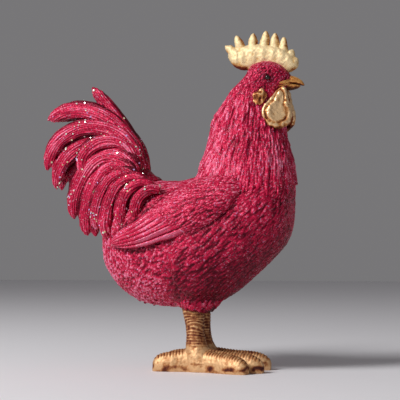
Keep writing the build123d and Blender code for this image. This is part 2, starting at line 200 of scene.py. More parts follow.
@dataclass
class Skin:
    """A fine mesh that stands for one CAD node, with its points in millimetres about the leg axis."""

    mesh: bpy.types.Mesh
    points: np.ndarray
    normals: np.ndarray

    @classmethod
    def of(cls, mesh: bpy.types.Mesh) -> "Skin":
        """Reads a mesh's points and normals.

        Args:
            mesh: the fine mesh, in metres.

        Returns:
            Its skin.
        """
        count = len(mesh.vertices)
        points = np.empty(count * 3, np.float32)
        mesh.vertices.foreach_get("co", points)
        normals = np.empty(count * 3, np.float32)
        mesh.vertex_normals.foreach_get("vector", normals)
        place = points.reshape(-1, 3).astype(float) / MM - LEG_AXIS_MM
        return cls(mesh, place, normals.reshape(-1, 3).astype(float))

    @property
    def mirrored(self) -> np.ndarray:
        """The points with both sides of the bird laid over each other."""
        return np.abs(self.points * (0.0, 1.0, 0.0)) + self.points * (1.0, 0.0, 1.0)

    def write(self, points: np.ndarray) -> None:
        """Moves the mesh to new points.

        Args:
            points: rows of millimetres about the leg axis.
        """
        self.points = points
        metres = (points + LEG_AXIS_MM) * MM
        self.mesh.vertices.foreach_set("co", metres.astype(np.float32).ravel())
        self.mesh.update()

    def relax(self, rounds: int, share: float, where: np.ndarray | None = None) -> None:
        """Evens out the steps that remeshing leaves.

        Args:
            rounds: how often each point moves.
            share: how far it moves to the middle of its neighbours.
            where: how much of that each point takes, or none for all of it everywhere.
        """
        edges = np.empty(len(self.mesh.edges) * 2, np.int64)
        self.mesh.edges.foreach_get("vertices", edges)
        a, b = edges.reshape(-1, 2).T
        count = np.bincount(a, minlength=len(self.points)) + np.bincount(b, minlength=len(self.points))
        points = self.points
        pull = share if where is None else share * where[:, None]
        for _ in range(rounds):
            middle = np.empty_like(points)
            for axis in range(3):
                ahead = np.bincount(a, points[b, axis], len(points))
                behind = np.bincount(b, points[a, axis], len(points))
                middle[:, axis] = (ahead + behind) / np.maximum(count, 1)
            points = points + pull * (middle - points)
        self.write(points)
        self.normals = Skin.of(self.mesh).normals

    def raise_by(self, heights: np.ndarray) -> None:
        """Moves each point along its normal by a height in millimetres."""
        self.write(self.points + self.normals * heights[:, None])

    def paint(self, name: str, values: np.ndarray) -> None:
        """Stores one number for each point, which a finish reads by name."""
        layer = self.mesh.attributes.new(name, "FLOAT", "POINT")
        layer.data.foreach_set("value", np.clip(values, 0.0, 1.0).astype(np.float32))


@dataclass(frozen=True)
class Strokes:
    """A coat of overlapping feather strokes, in millimetres: each rises from its root to a blunt tip."""

    length: float
    width: float
    height: float
    spacing: float
    spread: float = 0.3
    LOWEST = 0.55
    REACH = 0.6
    CELL_ORIGIN = 2048
    CELL_BITS = 20
    RISE = Ramp(-0.5, 0.8)
    FALL = Ramp(0.3, 0.2)
    TAPER_FROM = -0.1
    TAPER_LENGTH = 0.6
    TIP_SHARE = 0.02
    ROUNDNESS = 0.7

    def lay(self, skin: Skin, flow: np.ndarray, seed: int) -> np.ndarray:
        """Works out how high the coat stands on a skin.

        Args:
            skin: the surface.
            flow: the lie of the plumage at each point.
            seed: which scatter of strokes to use.

        Returns:
            Heights in millimetres.
        """
        rng = np.random.default_rng(SEED + seed)
        cells = np.floor(skin.points / self.spacing).astype(np.int64)
        keys = self.keys(cells)
        order = rng.permutation(len(keys))
        seed_keys, first = np.unique(keys[order], return_index=True)
        seeds = order[first]
        along = flow[seeds]
        across = np.cross(skin.normals[seeds], along)
        lengths = self.length * rng.uniform(1.0 - self.spread, 1.0 + self.spread, len(seeds))
        widths = self.width * rng.uniform(1.0 - self.spread, 1.0 + self.spread, len(seeds))
        tops = self.height * rng.uniform(self.LOWEST, 1.0, len(seeds))
        heights = np.zeros(len(keys))
        reach = math.ceil(self.length * self.REACH / self.spacing)
        for step in itertools.product(range(-reach, reach + 1), repeat=3):
            wanted = self.keys(cells + step)
            place = np.minimum(np.searchsorted(seed_keys, wanted), len(seed_keys) - 1)
            hit = np.flatnonzero(seed_keys[place] == wanted)
            if len(hit) == 0:
                continue
            stroke = place[hit]
            offset = skin.points[hit] - skin.points[seeds[stroke]]
            a = (offset * along[stroke]).sum(1) / lengths[stroke]
            b = (offset * across[stroke]).sum(1) / widths[stroke]
            heights[hit] = np.maximum(heights[hit], tops[stroke] * self.profile(a, b))
        return heights

    @classmethod
    def keys(cls, cells: np.ndarray) -> np.ndarray:
        """One whole number for each cell of the scatter."""
        x, y, z = (cells + cls.CELL_ORIGIN).T
        return (x << 2 * cls.CELL_BITS) | (y << cls.CELL_BITS) | z

    @classmethod
    def profile(cls, a: np.ndarray, b: np.ndarray) -> np.ndarray:
        """Height of one stroke.

        Args:
            a: place along it, from -0.5 at the root to 0.5 at the tip.
            b: place across it, in widths from its middle.

        Returns:
            Shares of its full height.
        """
        taper = np.maximum(a - cls.TAPER_FROM, 0.0) / cls.TAPER_LENGTH
        half = 0.5 * np.sqrt(np.clip(1.0 - taper ** 2, cls.TIP_SHARE, 1.0))
        arch = np.clip(1.0 - (b / half) ** 2, 0.0, 1.0) ** cls.ROUNDNESS
        return cls.RISE.at(a) * (1.0 - cls.FALL.at(a)) * arch


class Shaper:
    """Turns CAD nodes into fine skins and skins into dressed pieces."""

    SUNK_MM = 1.6
    TOUCH_MM = 0.35
    MERGE_MM = 0.01
    EVENED = 0.5

    @classmethod
    def blank(cls, node: str) -> bmesh.types.BMesh:
        """A merged copy of a CAD node's mesh.

        Args:
            node: the node's name.

        Returns:
            The copy, which its user frees.
        """
        copy = bmesh.new()
        copy.from_mesh(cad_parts[node].data)
        bmesh.ops.remove_doubles(copy, verts=copy.verts, dist=cls.MERGE_MM * MM)
        return copy

    @classmethod
    def tree(cls, *nodes: str) -> BVHTree:
        """A search tree over the CAD surfaces of some nodes.

        Args:
            nodes: their names.

        Returns:
            The tree, in metres.
        """
        whole = bmesh.new()
        for node in nodes:
            whole.from_mesh(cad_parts[node].data)
        found = BVHTree.FromBMesh(whole)
        whole.free()
        return found

    @classmethod
    def sink(cls, copy: bmesh.types.BMesh, *hosts: str) -> None:
        """Presses the glued faces of a copy into what they lie on, so that no thin edge is left.

        Args:
            copy: the merged copy.
            hosts: the nodes it is glued to.
        """
        for host in hosts:
            tree = cls.tree(host)
            for vert in copy.verts:
                place, normal, _, gap = tree.find_nearest(vert.co)
                if gap is not None and gap < cls.TOUCH_MM * MM:
                    vert.co = place - normal * cls.SUNK_MM * MM

    @classmethod
    def nearness(cls, skin: Skin, reach_mm: float, *nodes: str) -> np.ndarray:
        """How near a skin comes to some nodes.

        Args:
            skin: the surface.
            reach_mm: the distance at which nearness has mostly faded.
            nodes: the nodes' names.

        Returns:
            Shares from 1 where they touch to 0 far away.
        """
        tree = cls.tree(*nodes)
        limit = 3.0 * reach_mm * MM
        gaps = [tree.find_nearest(Vector(place), limit)[3] for place in (skin.points + LEG_AXIS_MM) * MM]
        return bell(np.array([limit if gap is None else gap for gap in gaps]) / (reach_mm * MM))

    @classmethod
    def skin(cls, copy: bmesh.types.BMesh, voxel_mm: float, rounds: int = 3) -> Skin:
        """Remeshes a copy into even small faces and frees it.

        Args:
            copy: a closed mesh.
            voxel_mm: the faces' size.
            rounds: how often it is smoothed.

        Returns:
            The fine skin.
        """
        blank = bpy.data.objects.new("blank", cls.mesh_of(copy, "blank"))
        remesh = blank.modifiers.new("remesh", "REMESH")
        remesh.mode = "VOXEL"
        remesh.voxel_size = voxel_mm * MM
        skin = Skin.of(cls.applied(blank))
        skin.relax(rounds, cls.EVENED)
        return skin

    @classmethod
    def seated(cls, node: str, voxel_mm: float, *hosts: str, rounds: int = 3) -> Skin:
        """A fine skin of a CAD node, pressed into what it is glued to.

        Args:
            node: the node's name.
            voxel_mm: the faces' size.
            hosts: the nodes it is glued to.
            rounds: how often it is smoothed.

        Returns:
            The skin.
        """
        copy = cls.blank(node)
        cls.sink(copy, *hosts)
        return cls.skin(copy, voxel_mm, rounds)

    @staticmethod
    def mesh_of(whole: bmesh.types.BMesh, name: str) -> bpy.types.Mesh:
        """Turns a mesh that was worked on into a named one and frees it.

        Args:
            whole: the mesh that was worked on.
            name: the new mesh's name.

        Returns:
            The new mesh.
        """
        mesh = bpy.data.meshes.new(name)
        whole.to_mesh(mesh)
        whole.free()
        return mesh

    @staticmethod
    def applied(blank: bpy.types.Object) -> bpy.types.Mesh:
        """Applies an object's modifier, then removes the object and its mesh.

        Args:
            blank: the object, not yet in the scene.

        Returns:
            The new mesh.
        """
        bpy.context.scene.collection.objects.link(blank)
        depsgraph = bpy.context.evaluated_depsgraph_get()
        fine = bpy.data.meshes.new_from_object(blank.evaluated_get(depsgraph))
        bpy.data.meshes.remove(blank.data)
        return fine

    @classmethod
    def dress(cls, mesh: bpy.types.Mesh, name: str, material: bpy.types.Material, slot: Slot,
              *nodes: str) -> bpy.types.Object:
        """Makes a mesh a piece of the bird.

        Args:
            mesh: the finished mesh.
            name: the piece's name.
            material: its finish.
            slot: the record's slot for it; not used.
            nodes: the CAD nodes it stands for.

        Returns:
            The piece.
        """
        mesh.name = name
        mesh.materials.clear()
        mesh.materials.append(material)
        mesh.shade_smooth()
        piece = bpy.data.objects.new(name, mesh)
        bpy.context.scene.collection.objects.link(piece)
        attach(piece, BODY)
        if nodes:
            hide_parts(*nodes)
        LOG.info("%s: %d faces", name, len(mesh.polygons))
        return piece


class Finish:
    """What all finishes share: a node tree and a way to add to it."""

    def start(self, name: str) -> tuple[bpy.types.NodeTree, bpy.types.Node, bpy.types.Material]:
        """Opens an empty material.

        Args:
            name: the real material's name.

        Returns:
            Its node tree, its shader and the material.
        """
        material = bpy.data.materials.new(name)
        material.use_nodes = True
        return material.node_tree, material.node_tree.nodes["Principled BSDF"], material

    @staticmethod
    def add(tree: bpy.types.NodeTree, kind: str, settings: dict | None = None,
            inputs: dict | None = None) -> bpy.types.Node:
        """Adds a node with its settings and links.

        Args:
            tree: the material's node tree.
            kind: the node's type, without its common beginning.
            settings: its properties, and the stops of a colour ramp.
            inputs: sockets to link or values to set, by the input's name or number.

        Returns:
            The node.
        """
        node = tree.nodes.new("ShaderNode" + kind)
        for key, value in (settings or {}).items():
            if key == "stops":
                while len(node.color_ramp.elements) < len(value):
                    node.color_ramp.elements.new(0.5)
                for element, (place, colour) in zip(node.color_ramp.elements, value):
                    element.position = place
                    element.color = linear(colour)
            else:
                setattr(node, key, value)
        Finish.plug(tree, node, inputs or {})
        return node

    @staticmethod
    def plug(tree: bpy.types.NodeTree, node: bpy.types.Node, inputs: dict) -> None:
        """Links sockets to a node's inputs, or sets the inputs' values.

        Args:
            tree: the node tree.
            node: one of its nodes.
            inputs: sockets or values, by the input's name or number.
        """
        for key, value in inputs.items():
            if isinstance(value, bpy.types.NodeSocket):
                tree.links.new(value, node.inputs[key])
            else:
                node.inputs[key].default_value = value


@dataclass(frozen=True)
class GlitterResin(Finish):
    """Polyresin cast in a mould, sprayed crimson and dusted with fine craft glitter.

    To the eye: a deep wine red painted into the crevices as shade, crimson on the strokes and rubbed pink
    on their tips, which is wear and painted highlight, all of it grainy, with pink and lilac flakes that
    flash as they turn.
    """

    crevice_shade: str = "480010"
    shade: str = "8E0A2B"
    coat: str = "C21A43"
    rubbed_highlight: str = "F286A6"
    pink_flake: str = "F9BCCD"
    lilac_flake: str = "E6B6F0"
    gleam: str = "FF86A2"
    flake_mm: float = 1.0
    flake_share: float = 0.13
    flake_cover: float = 0.9
    patch_mm: float = 38.0
    patch_drift: float = 0.1
    dullest: float = 0.7
    liveliest: float = 1.22
    tilt: float = 0.62
    smoothest: float = 0.24
    roughest: float = 0.5
    metallic: float = 0.1

    def material(self) -> bpy.types.Material:
        """Builds the finish.

        Returns:
            The material.
        """
        tree, shader, material = self.start("glittered_polyresin")
        add = self.add
        place = add(tree, "TexCoord").outputs["Object"]
        tone = add(tree, "Attribute", {"attribute_name": "tone"}).outputs["Fac"]
        patch = add(tree, "TexNoise", None,
                    {"Vector": place, "Scale": 1.0 / (self.patch_mm * MM), "Detail": 2.0})
        drift = add(tree, "MapRange", None,
                    {"Value": patch.outputs["Fac"], "From Min": 0.35, "From Max": 0.65,
                     "To Min": -self.patch_drift, "To Max": self.patch_drift})
        level = add(tree, "Math", {"operation": "ADD", "use_clamp": True},
                    {0: tone, 1: drift.outputs["Result"]})
        # Low tone gives painted shade in the crevices; high tone gives rubbed pink that is wear and
        # painted highlight
        stops = [(0.0, self.crevice_shade), (0.34, self.shade), (0.66, self.coat), (1.0, self.rubbed_highlight)]
        base = add(tree, "ValToRGB", {"stops": stops}, {"Fac": level.outputs["Value"]})
        cells = add(tree, "TexVoronoi", None, {"Vector": place, "Scale": 1.0 / (self.flake_mm * MM)})
        grain = add(tree, "SeparateColor", None, {"Color": cells.outputs["Color"]})
        mottle = add(tree, "MapRange", None,
                     {"Value": grain.outputs["Green"], "To Min": self.dullest, "To Max": self.liveliest})
        dusted = add(tree, "VectorMath", {"operation": "SCALE"},
                     {0: base.outputs["Color"], "Scale": mottle.outputs["Result"]})
        bright = add(tree, "MapRange", None,
                     {"Value": grain.outputs["Red"], "From Min": 1.0 - self.flake_share, "From Max": 1.0,
                      "To Min": 0.0, "To Max": self.flake_cover})
        # The flakes fade with the tone, so they also dim where shade is painted
        lit = add(tree, "Math", {"operation": "MULTIPLY"},
                  {0: bright.outputs["Result"], 1: level.outputs["Value"]})
        flake = add(tree, "ValToRGB", {"stops": [(0.6, self.pink_flake), (0.8, self.lilac_flake)]},
                    {"Fac": grain.outputs["Blue"]})
        colour = add(tree, "Mix", {"data_type": "RGBA"},
                     {0: lit.outputs["Value"], 6: dusted.outputs["Vector"], 7: flake.outputs["Color"]})
        rough = add(tree, "MapRange", None,
                    {"Value": grain.outputs["Blue"], "To Min": self.smoothest, "To Max": self.roughest})
        lean = add(tree, "VectorMath", {"operation": "SUBTRACT"},
                   {0: cells.outputs["Color"], 1: (0.5, 0.5, 0.5)})
        turned = add(tree, "VectorMath", {"operation": "SCALE"},
                     {0: lean.outputs["Vector"], "Scale": self.tilt})
        upright = add(tree, "NewGeometry").outputs["Normal"]
        tilted = add(tree, "VectorMath", {"operation": "ADD"}, {0: upright, 1: turned.outputs["Vector"]})
        normal = add(tree, "VectorMath", {"operation": "NORMALIZE"}, {0: tilted.outputs["Vector"]})
        self.plug(tree, shader, {
            "Base Color": colour.outputs[2], "Normal": normal.outputs["Vector"],
            "Roughness": rough.outputs["Result"], "Metallic": self.metallic,
            "Specular Tint": linear(self.gleam)})
        return material


@dataclass(frozen=True)
class GoldLeaf(Finish):
    """Loose leaf laid on a red-brown ground and burnished by hand.

    To the eye: pale gold where it lies flat, warmer in the folds, with the ground showing in creases and
    at the edges; the same dark end of the ramp also carries the shade that the pieces paint into their
    tone.
    """

    name: str
    bright: str
    warm: str
    dark: str
    ground: str
    crumple_mm: float = 3.0
    crease_mm: float = 0.4
    roughness: float = 0.36
    metallic: float = 0.8

    def material(self) -> bpy.types.Material:
        """Builds the finish.

        Returns:
            The material.
        """
        tree, shader, material = self.start(self.name)
        add = self.add
        place = add(tree, "TexCoord").outputs["Object"]
        tone = add(tree, "Attribute", {"attribute_name": "tone"}).outputs["Fac"]
        folds = add(tree, "TexNoise", None,
                    {"Vector": place, "Scale": 1.0 / (self.crumple_mm * MM), "Detail": 5.0,
                     "Roughness": 0.65})
        drift = add(tree, "MapRange", None,
                    {"Value": folds.outputs["Fac"], "From Min": 0.3, "From Max": 0.7,
                     "To Min": -0.24, "To Max": 0.2})
        level = add(tree, "Math", {"operation": "ADD", "use_clamp": True},
                    {0: tone, 1: drift.outputs["Result"]})
        # Low tone gives the ground's colours, which stand for the real ground and for painted shade
        stops = [(0.08, self.ground), (0.3, self.dark), (0.56, self.warm), (0.8, self.bright)]
        base = add(tree, "ValToRGB", {"stops": stops}, {"Fac": level.outputs["Value"]})
        rough = add(tree, "MapRange", None,
                    {"Value": level.outputs["Value"], "To Min": self.roughness + 0.25,
                     "To Max": self.roughness - 0.06})
        bump = add(tree, "Bump", None,
                   {"Strength": 0.5, "Distance": self.crease_mm * MM, "Height": folds.outputs["Fac"]})
        self.plug(tree, shader, {
            "Base Color": base.outputs["Color"], "Roughness": rough.outputs["Result"],
            "Normal": bump.outputs["Normal"], "Metallic": self.metallic})
        return material


@dataclass(frozen=True)
class FlakeFoil(Finish):
    """Punched polyester film, the large craft glitter that is caught in the tail.

    To the eye: tiny mirrors in silver, mint, gold and lilac.
    """

    silver: str = "FAF8F0"
    mint: str = "D3F2DC"
    gold: str = "F5E2AC"
    lilac: str = "DDB4F2"
    metallic: float = 0.35
    roughness: float = 0.25

    def material(self) -> bpy.types.Material:
        """Builds the finish.

        Returns:
            The material.
        """
        tree, shader, material = self.start("punched_polyester_film")
        tint = self.add(tree, "Attribute", {"attribute_name": "tint"}).outputs["Fac"]
        stops = [(0.0, self.silver), (0.4, self.mint), (0.68, self.gold), (0.9, self.lilac)]
        colour = self.add(tree, "ValToRGB", {"stops": stops}, {"Fac": tint})
        self.plug(tree, shader, {
            "Base Color": colour.outputs["Color"], "Metallic": self.metallic, "Roughness": self.roughness})
        return material


@dataclass(frozen=True)
class EyeGlass(Finish):
    """A pressed glass bead, almost black, fire polished: a brown depth with one sharp highlight."""

    pupil: str = "0A0606"
    iris: str = "2A120B"
    depth_mm: float = 1.5
    roughness: float = 0.06
    ior: float = 1.52

    def material(self) -> bpy.types.Material:
        """Builds the finish.

        Returns:
            The material.
        """
        tree, shader, material = self.start("pressed_glass_bead")
        place = self.add(tree, "TexCoord").outputs["Object"]
        depth = self.add(tree, "TexNoise", None, {"Vector": place, "Scale": 1.0 / (self.depth_mm * MM)})
        colour = self.add(tree, "Mix", {"data_type": "RGBA"},
                          {0: depth.outputs["Fac"], 6: linear(self.pupil), 7: linear(self.iris)})
        self.plug(tree, shader, {
            "Base Color": colour.outputs[2], "Roughness": self.roughness, "IOR": self.ior})
        return material


@dataclass(frozen=True)
class DrawnSteel(Finish):
    """Mild steel wire, drawn through a die: grey with fine lines along its length."""

    colour: str = "9C9CA0"
    line_mm: float = 0.4
    smoothest: float = 0.25
    roughest: float = 0.5

    def material(self) -> bpy.types.Material:
        """Builds the finish.

        Returns:
            The material.
        """
        tree, shader, material = self.start("drawn_steel")
        place = self.add(tree, "TexCoord").outputs["Object"]
        stretch = self.add(tree, "Mapping", None, {"Vector": place, "Scale": (1.0, 1.0, 0.02)})
        lines = self.add(tree, "TexNoise", None, {"Vector": stretch.outputs["Vector"],
                                                  "Scale": 1.0 / (self.line_mm * MM)})
        rough = self.add(tree, "MapRange", None,
                         {"Value": lines.outputs["Fac"], "To Min": self.smoothest,
                          "To Max": self.roughest})
        self.plug(tree, shader, {
            "Base Color": linear(self.colour), "Roughness": rough.outputs["Result"], "Metallic": 1.0})
        return material


@dataclass
class Torso:
    """The body: close plumage on breast and flanks, loose tufts behind, and the swell of the thighs."""

    resin: bpy.types.Material
    voxel: float = 1.14
    walls_dropped: float = 0.9
    plumage: Strokes = Strokes(11.5, 2.4, 1.4, 3.5)
    fluff: Strokes = Strokes(8.0, 3.0, 2.1, 3.8)
    flank_edge: tuple = (
        (70.0, -4.0), (78.0, -8.0), (92.0, -17.0), (109.0, -16.0), (131.0, -11.0), (150.0, 2.0))
    flank_swell: float = 4.4
    flank_rise: Ramp = Ramp(0.0, 4.0)
    flank_crest: float = 10.0
    flank_fade: float = 32.0
    flank_low: float = 12.0
    flank_high: float = 22.0
    flank_side: Ramp = Ramp(0.0, 30.0)
    cuff_middle: tuple = (-1.0, 13.0)
    cuff_radius: float = 11.0
    cuff_width: float = 11.0
    cuff_drop: float = 6.5
    cuff_height: Ramp = Ramp(78.0, 14.0)
    cuff_lean: float = 0.3
    underside_shade: Ramp = Ramp(0.15, -0.95)
    wing_shade_mm: float = 3.5
    collapse_cost: float = 1000.0
    TUFTS_BACK = Ramp(-12.0, -16.0)
    TUFTS_BELOW = Ramp(150.0, -30.0)
    SLOPE_DEG = 38.0
    BREAST = Ramp(62.0, 30.0)
    REAR = Ramp(-25.0, -50.0)
    BELLY = Ramp(100.0, -25.0)
    BACK_ABOVE = Ramp(165.0, 20.0)
    BACK_BEHIND = Ramp(30.0, -30.0)
    PARTING = Ramp(60.0, 30.0)

    def build(self) -> Skin:
        """Models the torso and dresses it.

        Returns:
            Its skin.
        """
        skin = Shaper.seated("torso", self.voxel)
        skin.raise_by(self.swell(skin))
        skin.write(skin.points - self.cuffs(skin)[:, None] * (0.0, 0.0, 1.0))
        skin.relax(3, 0.4)
        flow = self.lie(skin)
        behind = self.behind(skin)
        close = self.plumage.lay(skin, flow, 1)
        loose = self.fluff.lay(skin, flow, 2)
        heights = close * (1.0 - behind) + loose * behind
        full = self.plumage.height * (1.0 - behind) + self.fluff.height * behind
        shaded = Shaper.nearness(skin, self.wing_shade_mm, "right_wing", "left_wing")
        skin.raise_by(heights - 0.5 * full)
        under = self.underside_shade.at(skin.normals[:, 2]) * (1.0 - behind)
        # The tone paints shade: darker in the valleys between strokes, next to the wings and on the
        # underside, which faces away from the light
        skin.paint("tone", 0.06 + 0.92 * heights / full + 0.07 * behind - 0.4 * shaded - 0.45 * under)
        self.thin(skin)
        Shaper.dress(skin.mesh, "torso_plumage", self.resin, Slot.RESIN, "torso")
        return skin

    def thin(self, skin: Skin) -> None:
        """Leaves large faces on the walls of the hollow, which no eye reaches.

        Args:
            skin: the finished torso.
        """
        whole = bmesh.new()
        whole.from_mesh(skin.mesh)
        tree = BVHTree.FromBMesh(whole)
        walls = [vert.index for vert in whole.verts if self.shut_in(vert, tree)]
        whole.free()
        blank = bpy.data.objects.new("blank", skin.mesh)
        blank.vertex_groups.new(name="hollow").add(walls, 1.0, "REPLACE")
        fewer = blank.modifiers.new("fewer", "DECIMATE")
        fewer.ratio = 1.0 - self.walls_dropped * len(walls) / len(skin.mesh.vertices)
        fewer.vertex_group = "hollow"
        fewer.vertex_group_factor = self.collapse_cost
        skin.mesh = Shaper.applied(blank)

    @staticmethod
    def shut_in(vert: bmesh.types.BMVert, tree: BVHTree) -> bool:
        """Whether a point of the torso faces nothing but the torso.

        Args:
            vert: the point.
            tree: the torso's surface.

        Returns:
            True inside the hollow and its openings.
        """
        up = vert.normal
        aside = up.orthogonal().normalized()
        ways = (up, up + aside, up - aside, up + up.cross(aside), up - up.cross(aside))
        return all(tree.ray_cast(vert.co + up * MM, way)[0] for way in ways)

    def swell(self, skin: Skin) -> np.ndarray:
        """The step where the flank's plumage lies over the belly's tufts.

        Args:
            skin: the torso's surface.

        Returns:
            Heights in millimetres.
        """
        x, y, z = skin.points.T
        levels, edges = np.array(self.flank_edge).T
        past = x - np.interp(z, levels, edges)
        band = Ramp(levels[0], self.flank_low).at(z) * (1.0 - Ramp(levels[-2], self.flank_high).at(z))
        fade = np.exp(-np.maximum(past - self.flank_crest, 0.0) / self.flank_fade)
        return self.flank_swell * self.flank_rise.at(past) * fade * band * self.flank_side.at(np.abs(y))

    def cuffs(self, skin: Skin) -> np.ndarray:
        """How far the plumage is drawn down round the tops of the shanks, most of all in front.

        Args:
            skin: the torso's surface.

        Returns:
            Drops in millimetres.
        """
        x, y, z = skin.points.T
        ahead = x - self.cuff_middle[0]
        away = np.hypot(ahead, np.abs(y) - self.cuff_middle[1])
        near = 1.0 - Ramp(self.cuff_radius, self.cuff_width).at(away)
        low = 1.0 - self.cuff_height.at(z)
        lean = 1.0 - self.cuff_lean + self.cuff_lean * np.clip(ahead / self.cuff_radius, -1.0, 1.0)
        return self.cuff_drop * near * low * lean

    @classmethod
    def behind(cls, skin: Skin) -> np.ndarray:
        """Where the tufts take over from the close plumage."""
        x, _, z = skin.points.T
        return cls.TUFTS_BACK.at(x) * cls.TUFTS_BELOW.at(z)

    @classmethod
    def lie(cls, skin: Skin) -> np.ndarray:
        """The lie of the plumage: back and down, steeper at the breast and the rear, ruffled behind.

        Args:
            skin: the torso's surface.

        Returns:
            One direction for each point.
        """
        x, y, z = skin.points.T
        steep = cls.SLOPE_DEG + 24.0 * cls.BREAST.at(x) + 22.0 * cls.REAR.at(x)
        steep += 22.0 * cls.BELLY.at(z)
        steep -= 24.0 * cls.BACK_ABOVE.at(z) * cls.BACK_BEHIND.at(x)
        steep += 12.0 * GRAIN.at(skin.points / 24.0)
        steep += 42.0 * GRAIN.at(skin.points / 13.0 + 7.0) * cls.behind(skin)
        angle = np.radians(steep)
        aside = 0.35 * np.sign(y) * cls.PARTING.at(x)
        flow = np.stack([-np.cos(angle), aside, -np.sin(angle)], 1)
        return along_surface(flow, skin.normals)


@dataclass
class HeadAndNeck:
    """The head's short down and the long hackles of the neck."""

    resin: bpy.types.Material
    voxel: float = 0.8
    hackles: Strokes = Strokes(22.0, 3.0, 2.0, 5.0)
    strands: Strokes = Strokes(10.0, 1.7, 0.8, 2.8)
    down: Strokes = Strokes(4.2, 1.9, 0.7, 1.9)
    eye: tuple = (73.0, 18.0, 286.5)
    eye_shade_mm: float = 9.0
    lid: Hump = Hump(4.3, 1.0)
    lid_mm: float = 0.9
    socket_width: float = 7.0
    socket_mm: float = 1.1
    mouth: tuple = ((83.5, 15.5, 278.2), (96.0, 9.0, 280.8))
    mouth_width: float = 1.6
    lobe_shade_mm: float = 3.0
    nape: Ramp = Ramp(56.0, -10.0)
    nape_zone: Hump = Hump(277.0, 16.0)
    nape_rounds: int = 240
    nape_fill: Hump = Hump(279.0, 6.0)
    nape_fill_mm: float = 4.5
    nape_cut: Hump = Hump(294.0, 7.0)
    nape_cut_mm: float = 3.0
    face: Ramp = Ramp(262.0, 18.0)
    CROWN = Ramp(272.0, 16.0)
    NECK_REAR = Ramp(30.0, -30.0)

    def build(self) -> Skin:
        """Models the head and neck and dresses them.

        Returns:
            Their skin.
        """
        skin = Shaper.seated("head_and_neck", self.voxel, "torso")
        x, _, z = skin.points.T
        rear = self.nape.at(x)
        filled = self.nape_fill_mm * self.nape_fill.at(z)
        skin.raise_by(rear * (filled - self.nape_cut_mm * self.nape_cut.at(z)))
        skin.relax(self.nape_rounds, 0.6, rear * self.nape_zone.at(z))
        x, _, z = skin.points.T
        skin.raise_by(self.socket(skin))
        flow = self.lie(skin)
        face = self.face.at(z + 0.35 * (x - 60.0))
        long = self.hackles.lay(skin, flow, 11) + self.strands.lay(skin, flow, 12)
        short = self.down.lay(skin, flow, 13)
        heights = long * (1.0 - face) + short * face
        full = (self.hackles.height + self.strands.height) * (1.0 - face) + self.down.height * face
        lobes = [side.named(lobe) for lobe in ("wattle", "ear_lobe") for side in Side]
        shaded = Shaper.nearness(skin, self.lobe_shade_mm, *lobes)
        slit = bell(segment_distance(skin.mirrored, *np.array(self.mouth)) / self.mouth_width)
        skin.raise_by(heights - 0.45 * full - 0.6 * slit)
        # The tone paints shade: darker in the valleys between strokes, round the eyes, next to the wattles
        # and ear lobes, and in the mouth slit
        tone = 0.1 + 0.98 * heights / full - 0.38 * bell(self.eye_distance(skin) / self.eye_shade_mm)
        skin.paint("tone", tone - 0.35 * shaded - 0.8 * slit)
        Shaper.dress(skin.mesh, "head_and_hackles", self.resin, Slot.RESIN, "head_and_neck")
        return skin

    def eye_distance(self, skin: Skin) -> np.ndarray:
        """Distance from the nearer eye, in millimetres."""
        return np.linalg.norm(skin.mirrored - self.eye, axis=1)

    def socket(self, skin: Skin) -> np.ndarray:
        """A shallow socket with a lid round each eye."""
        away = self.eye_distance(skin)
        return self.lid_mm * self.lid.at(away) - self.socket_mm * bell(away / self.socket_width)

    @classmethod
    def lie(cls, skin: Skin) -> np.ndarray:
        """The lie of the hackles: down the neck, a little to the back, and back over the crown.

        Args:
            skin: the surface of head and neck.

        Returns:
            One direction for each point.
        """
        x, _, z = skin.points.T
        back = -0.12 - 0.9 * cls.CROWN.at(z) - 0.35 * cls.NECK_REAR.at(x)
        back += 0.16 * GRAIN.at(skin.points / 18.0 + 3.0)
        aside = 0.12 * GRAIN.at(skin.points / 16.0 + 11.0)
        flow = np.stack([back, aside, -np.ones(len(x))], 1)
        return along_surface(flow, skin.normals)


@dataclass(frozen=True)
class Tuft:
    """One tongue of plumage that lies on a surface, in millimetres."""

    length: float
    width: float
    height: float
    STEPS = 9
    SIDES = 8
    ROOT_LIFT = 0.35

    def lay(self, whole: bmesh.types.BMesh, tree: BVHTree, start: Vector, lie: Vector) -> None:
        """Adds a tongue that follows a surface from a starting point.

        Args:
            whole: the mesh that collects the tongues.
            tree: the surface, in metres.
            start: a point near the root, in metres.
            lie: the way the plumage falls.
        """
        last = self.STEPS - 1
        stride = self.length * MM / last
        places, normals = [], []
        place, normal, _, _ = tree.find_nearest(start)
        for _ in range(self.STEPS):
            places.append(place)
            normals.append(normal)
            ahead = (lie - normal * lie.dot(normal)).normalized()
            place, normal, _, _ = tree.find_nearest(place + ahead * stride)
        tongue = bmesh.ops.create_uvsphere(whole, u_segments=self.SIDES, v_segments=self.SIDES, radius=1.0)
        for vert in tongue["verts"]:
            share = (vert.co.z + 1.0) / 2.0 * last
            index = min(int(share), last - 1)
            rest = share - index
            point = places[index].lerp(places[index + 1], rest)
            up = normals[index].lerp(normals[index + 1], rest).normalized()
            ahead = (places[index + 1] - places[index]).normalized()
            aside = ahead.cross(up) * vert.co.x * self.width * 0.5 * MM
            lift = self.ROOT_LIFT + (1.0 - self.ROOT_LIFT) * share / last
            vert.co = point + aside + up * vert.co.y * self.height * lift * MM


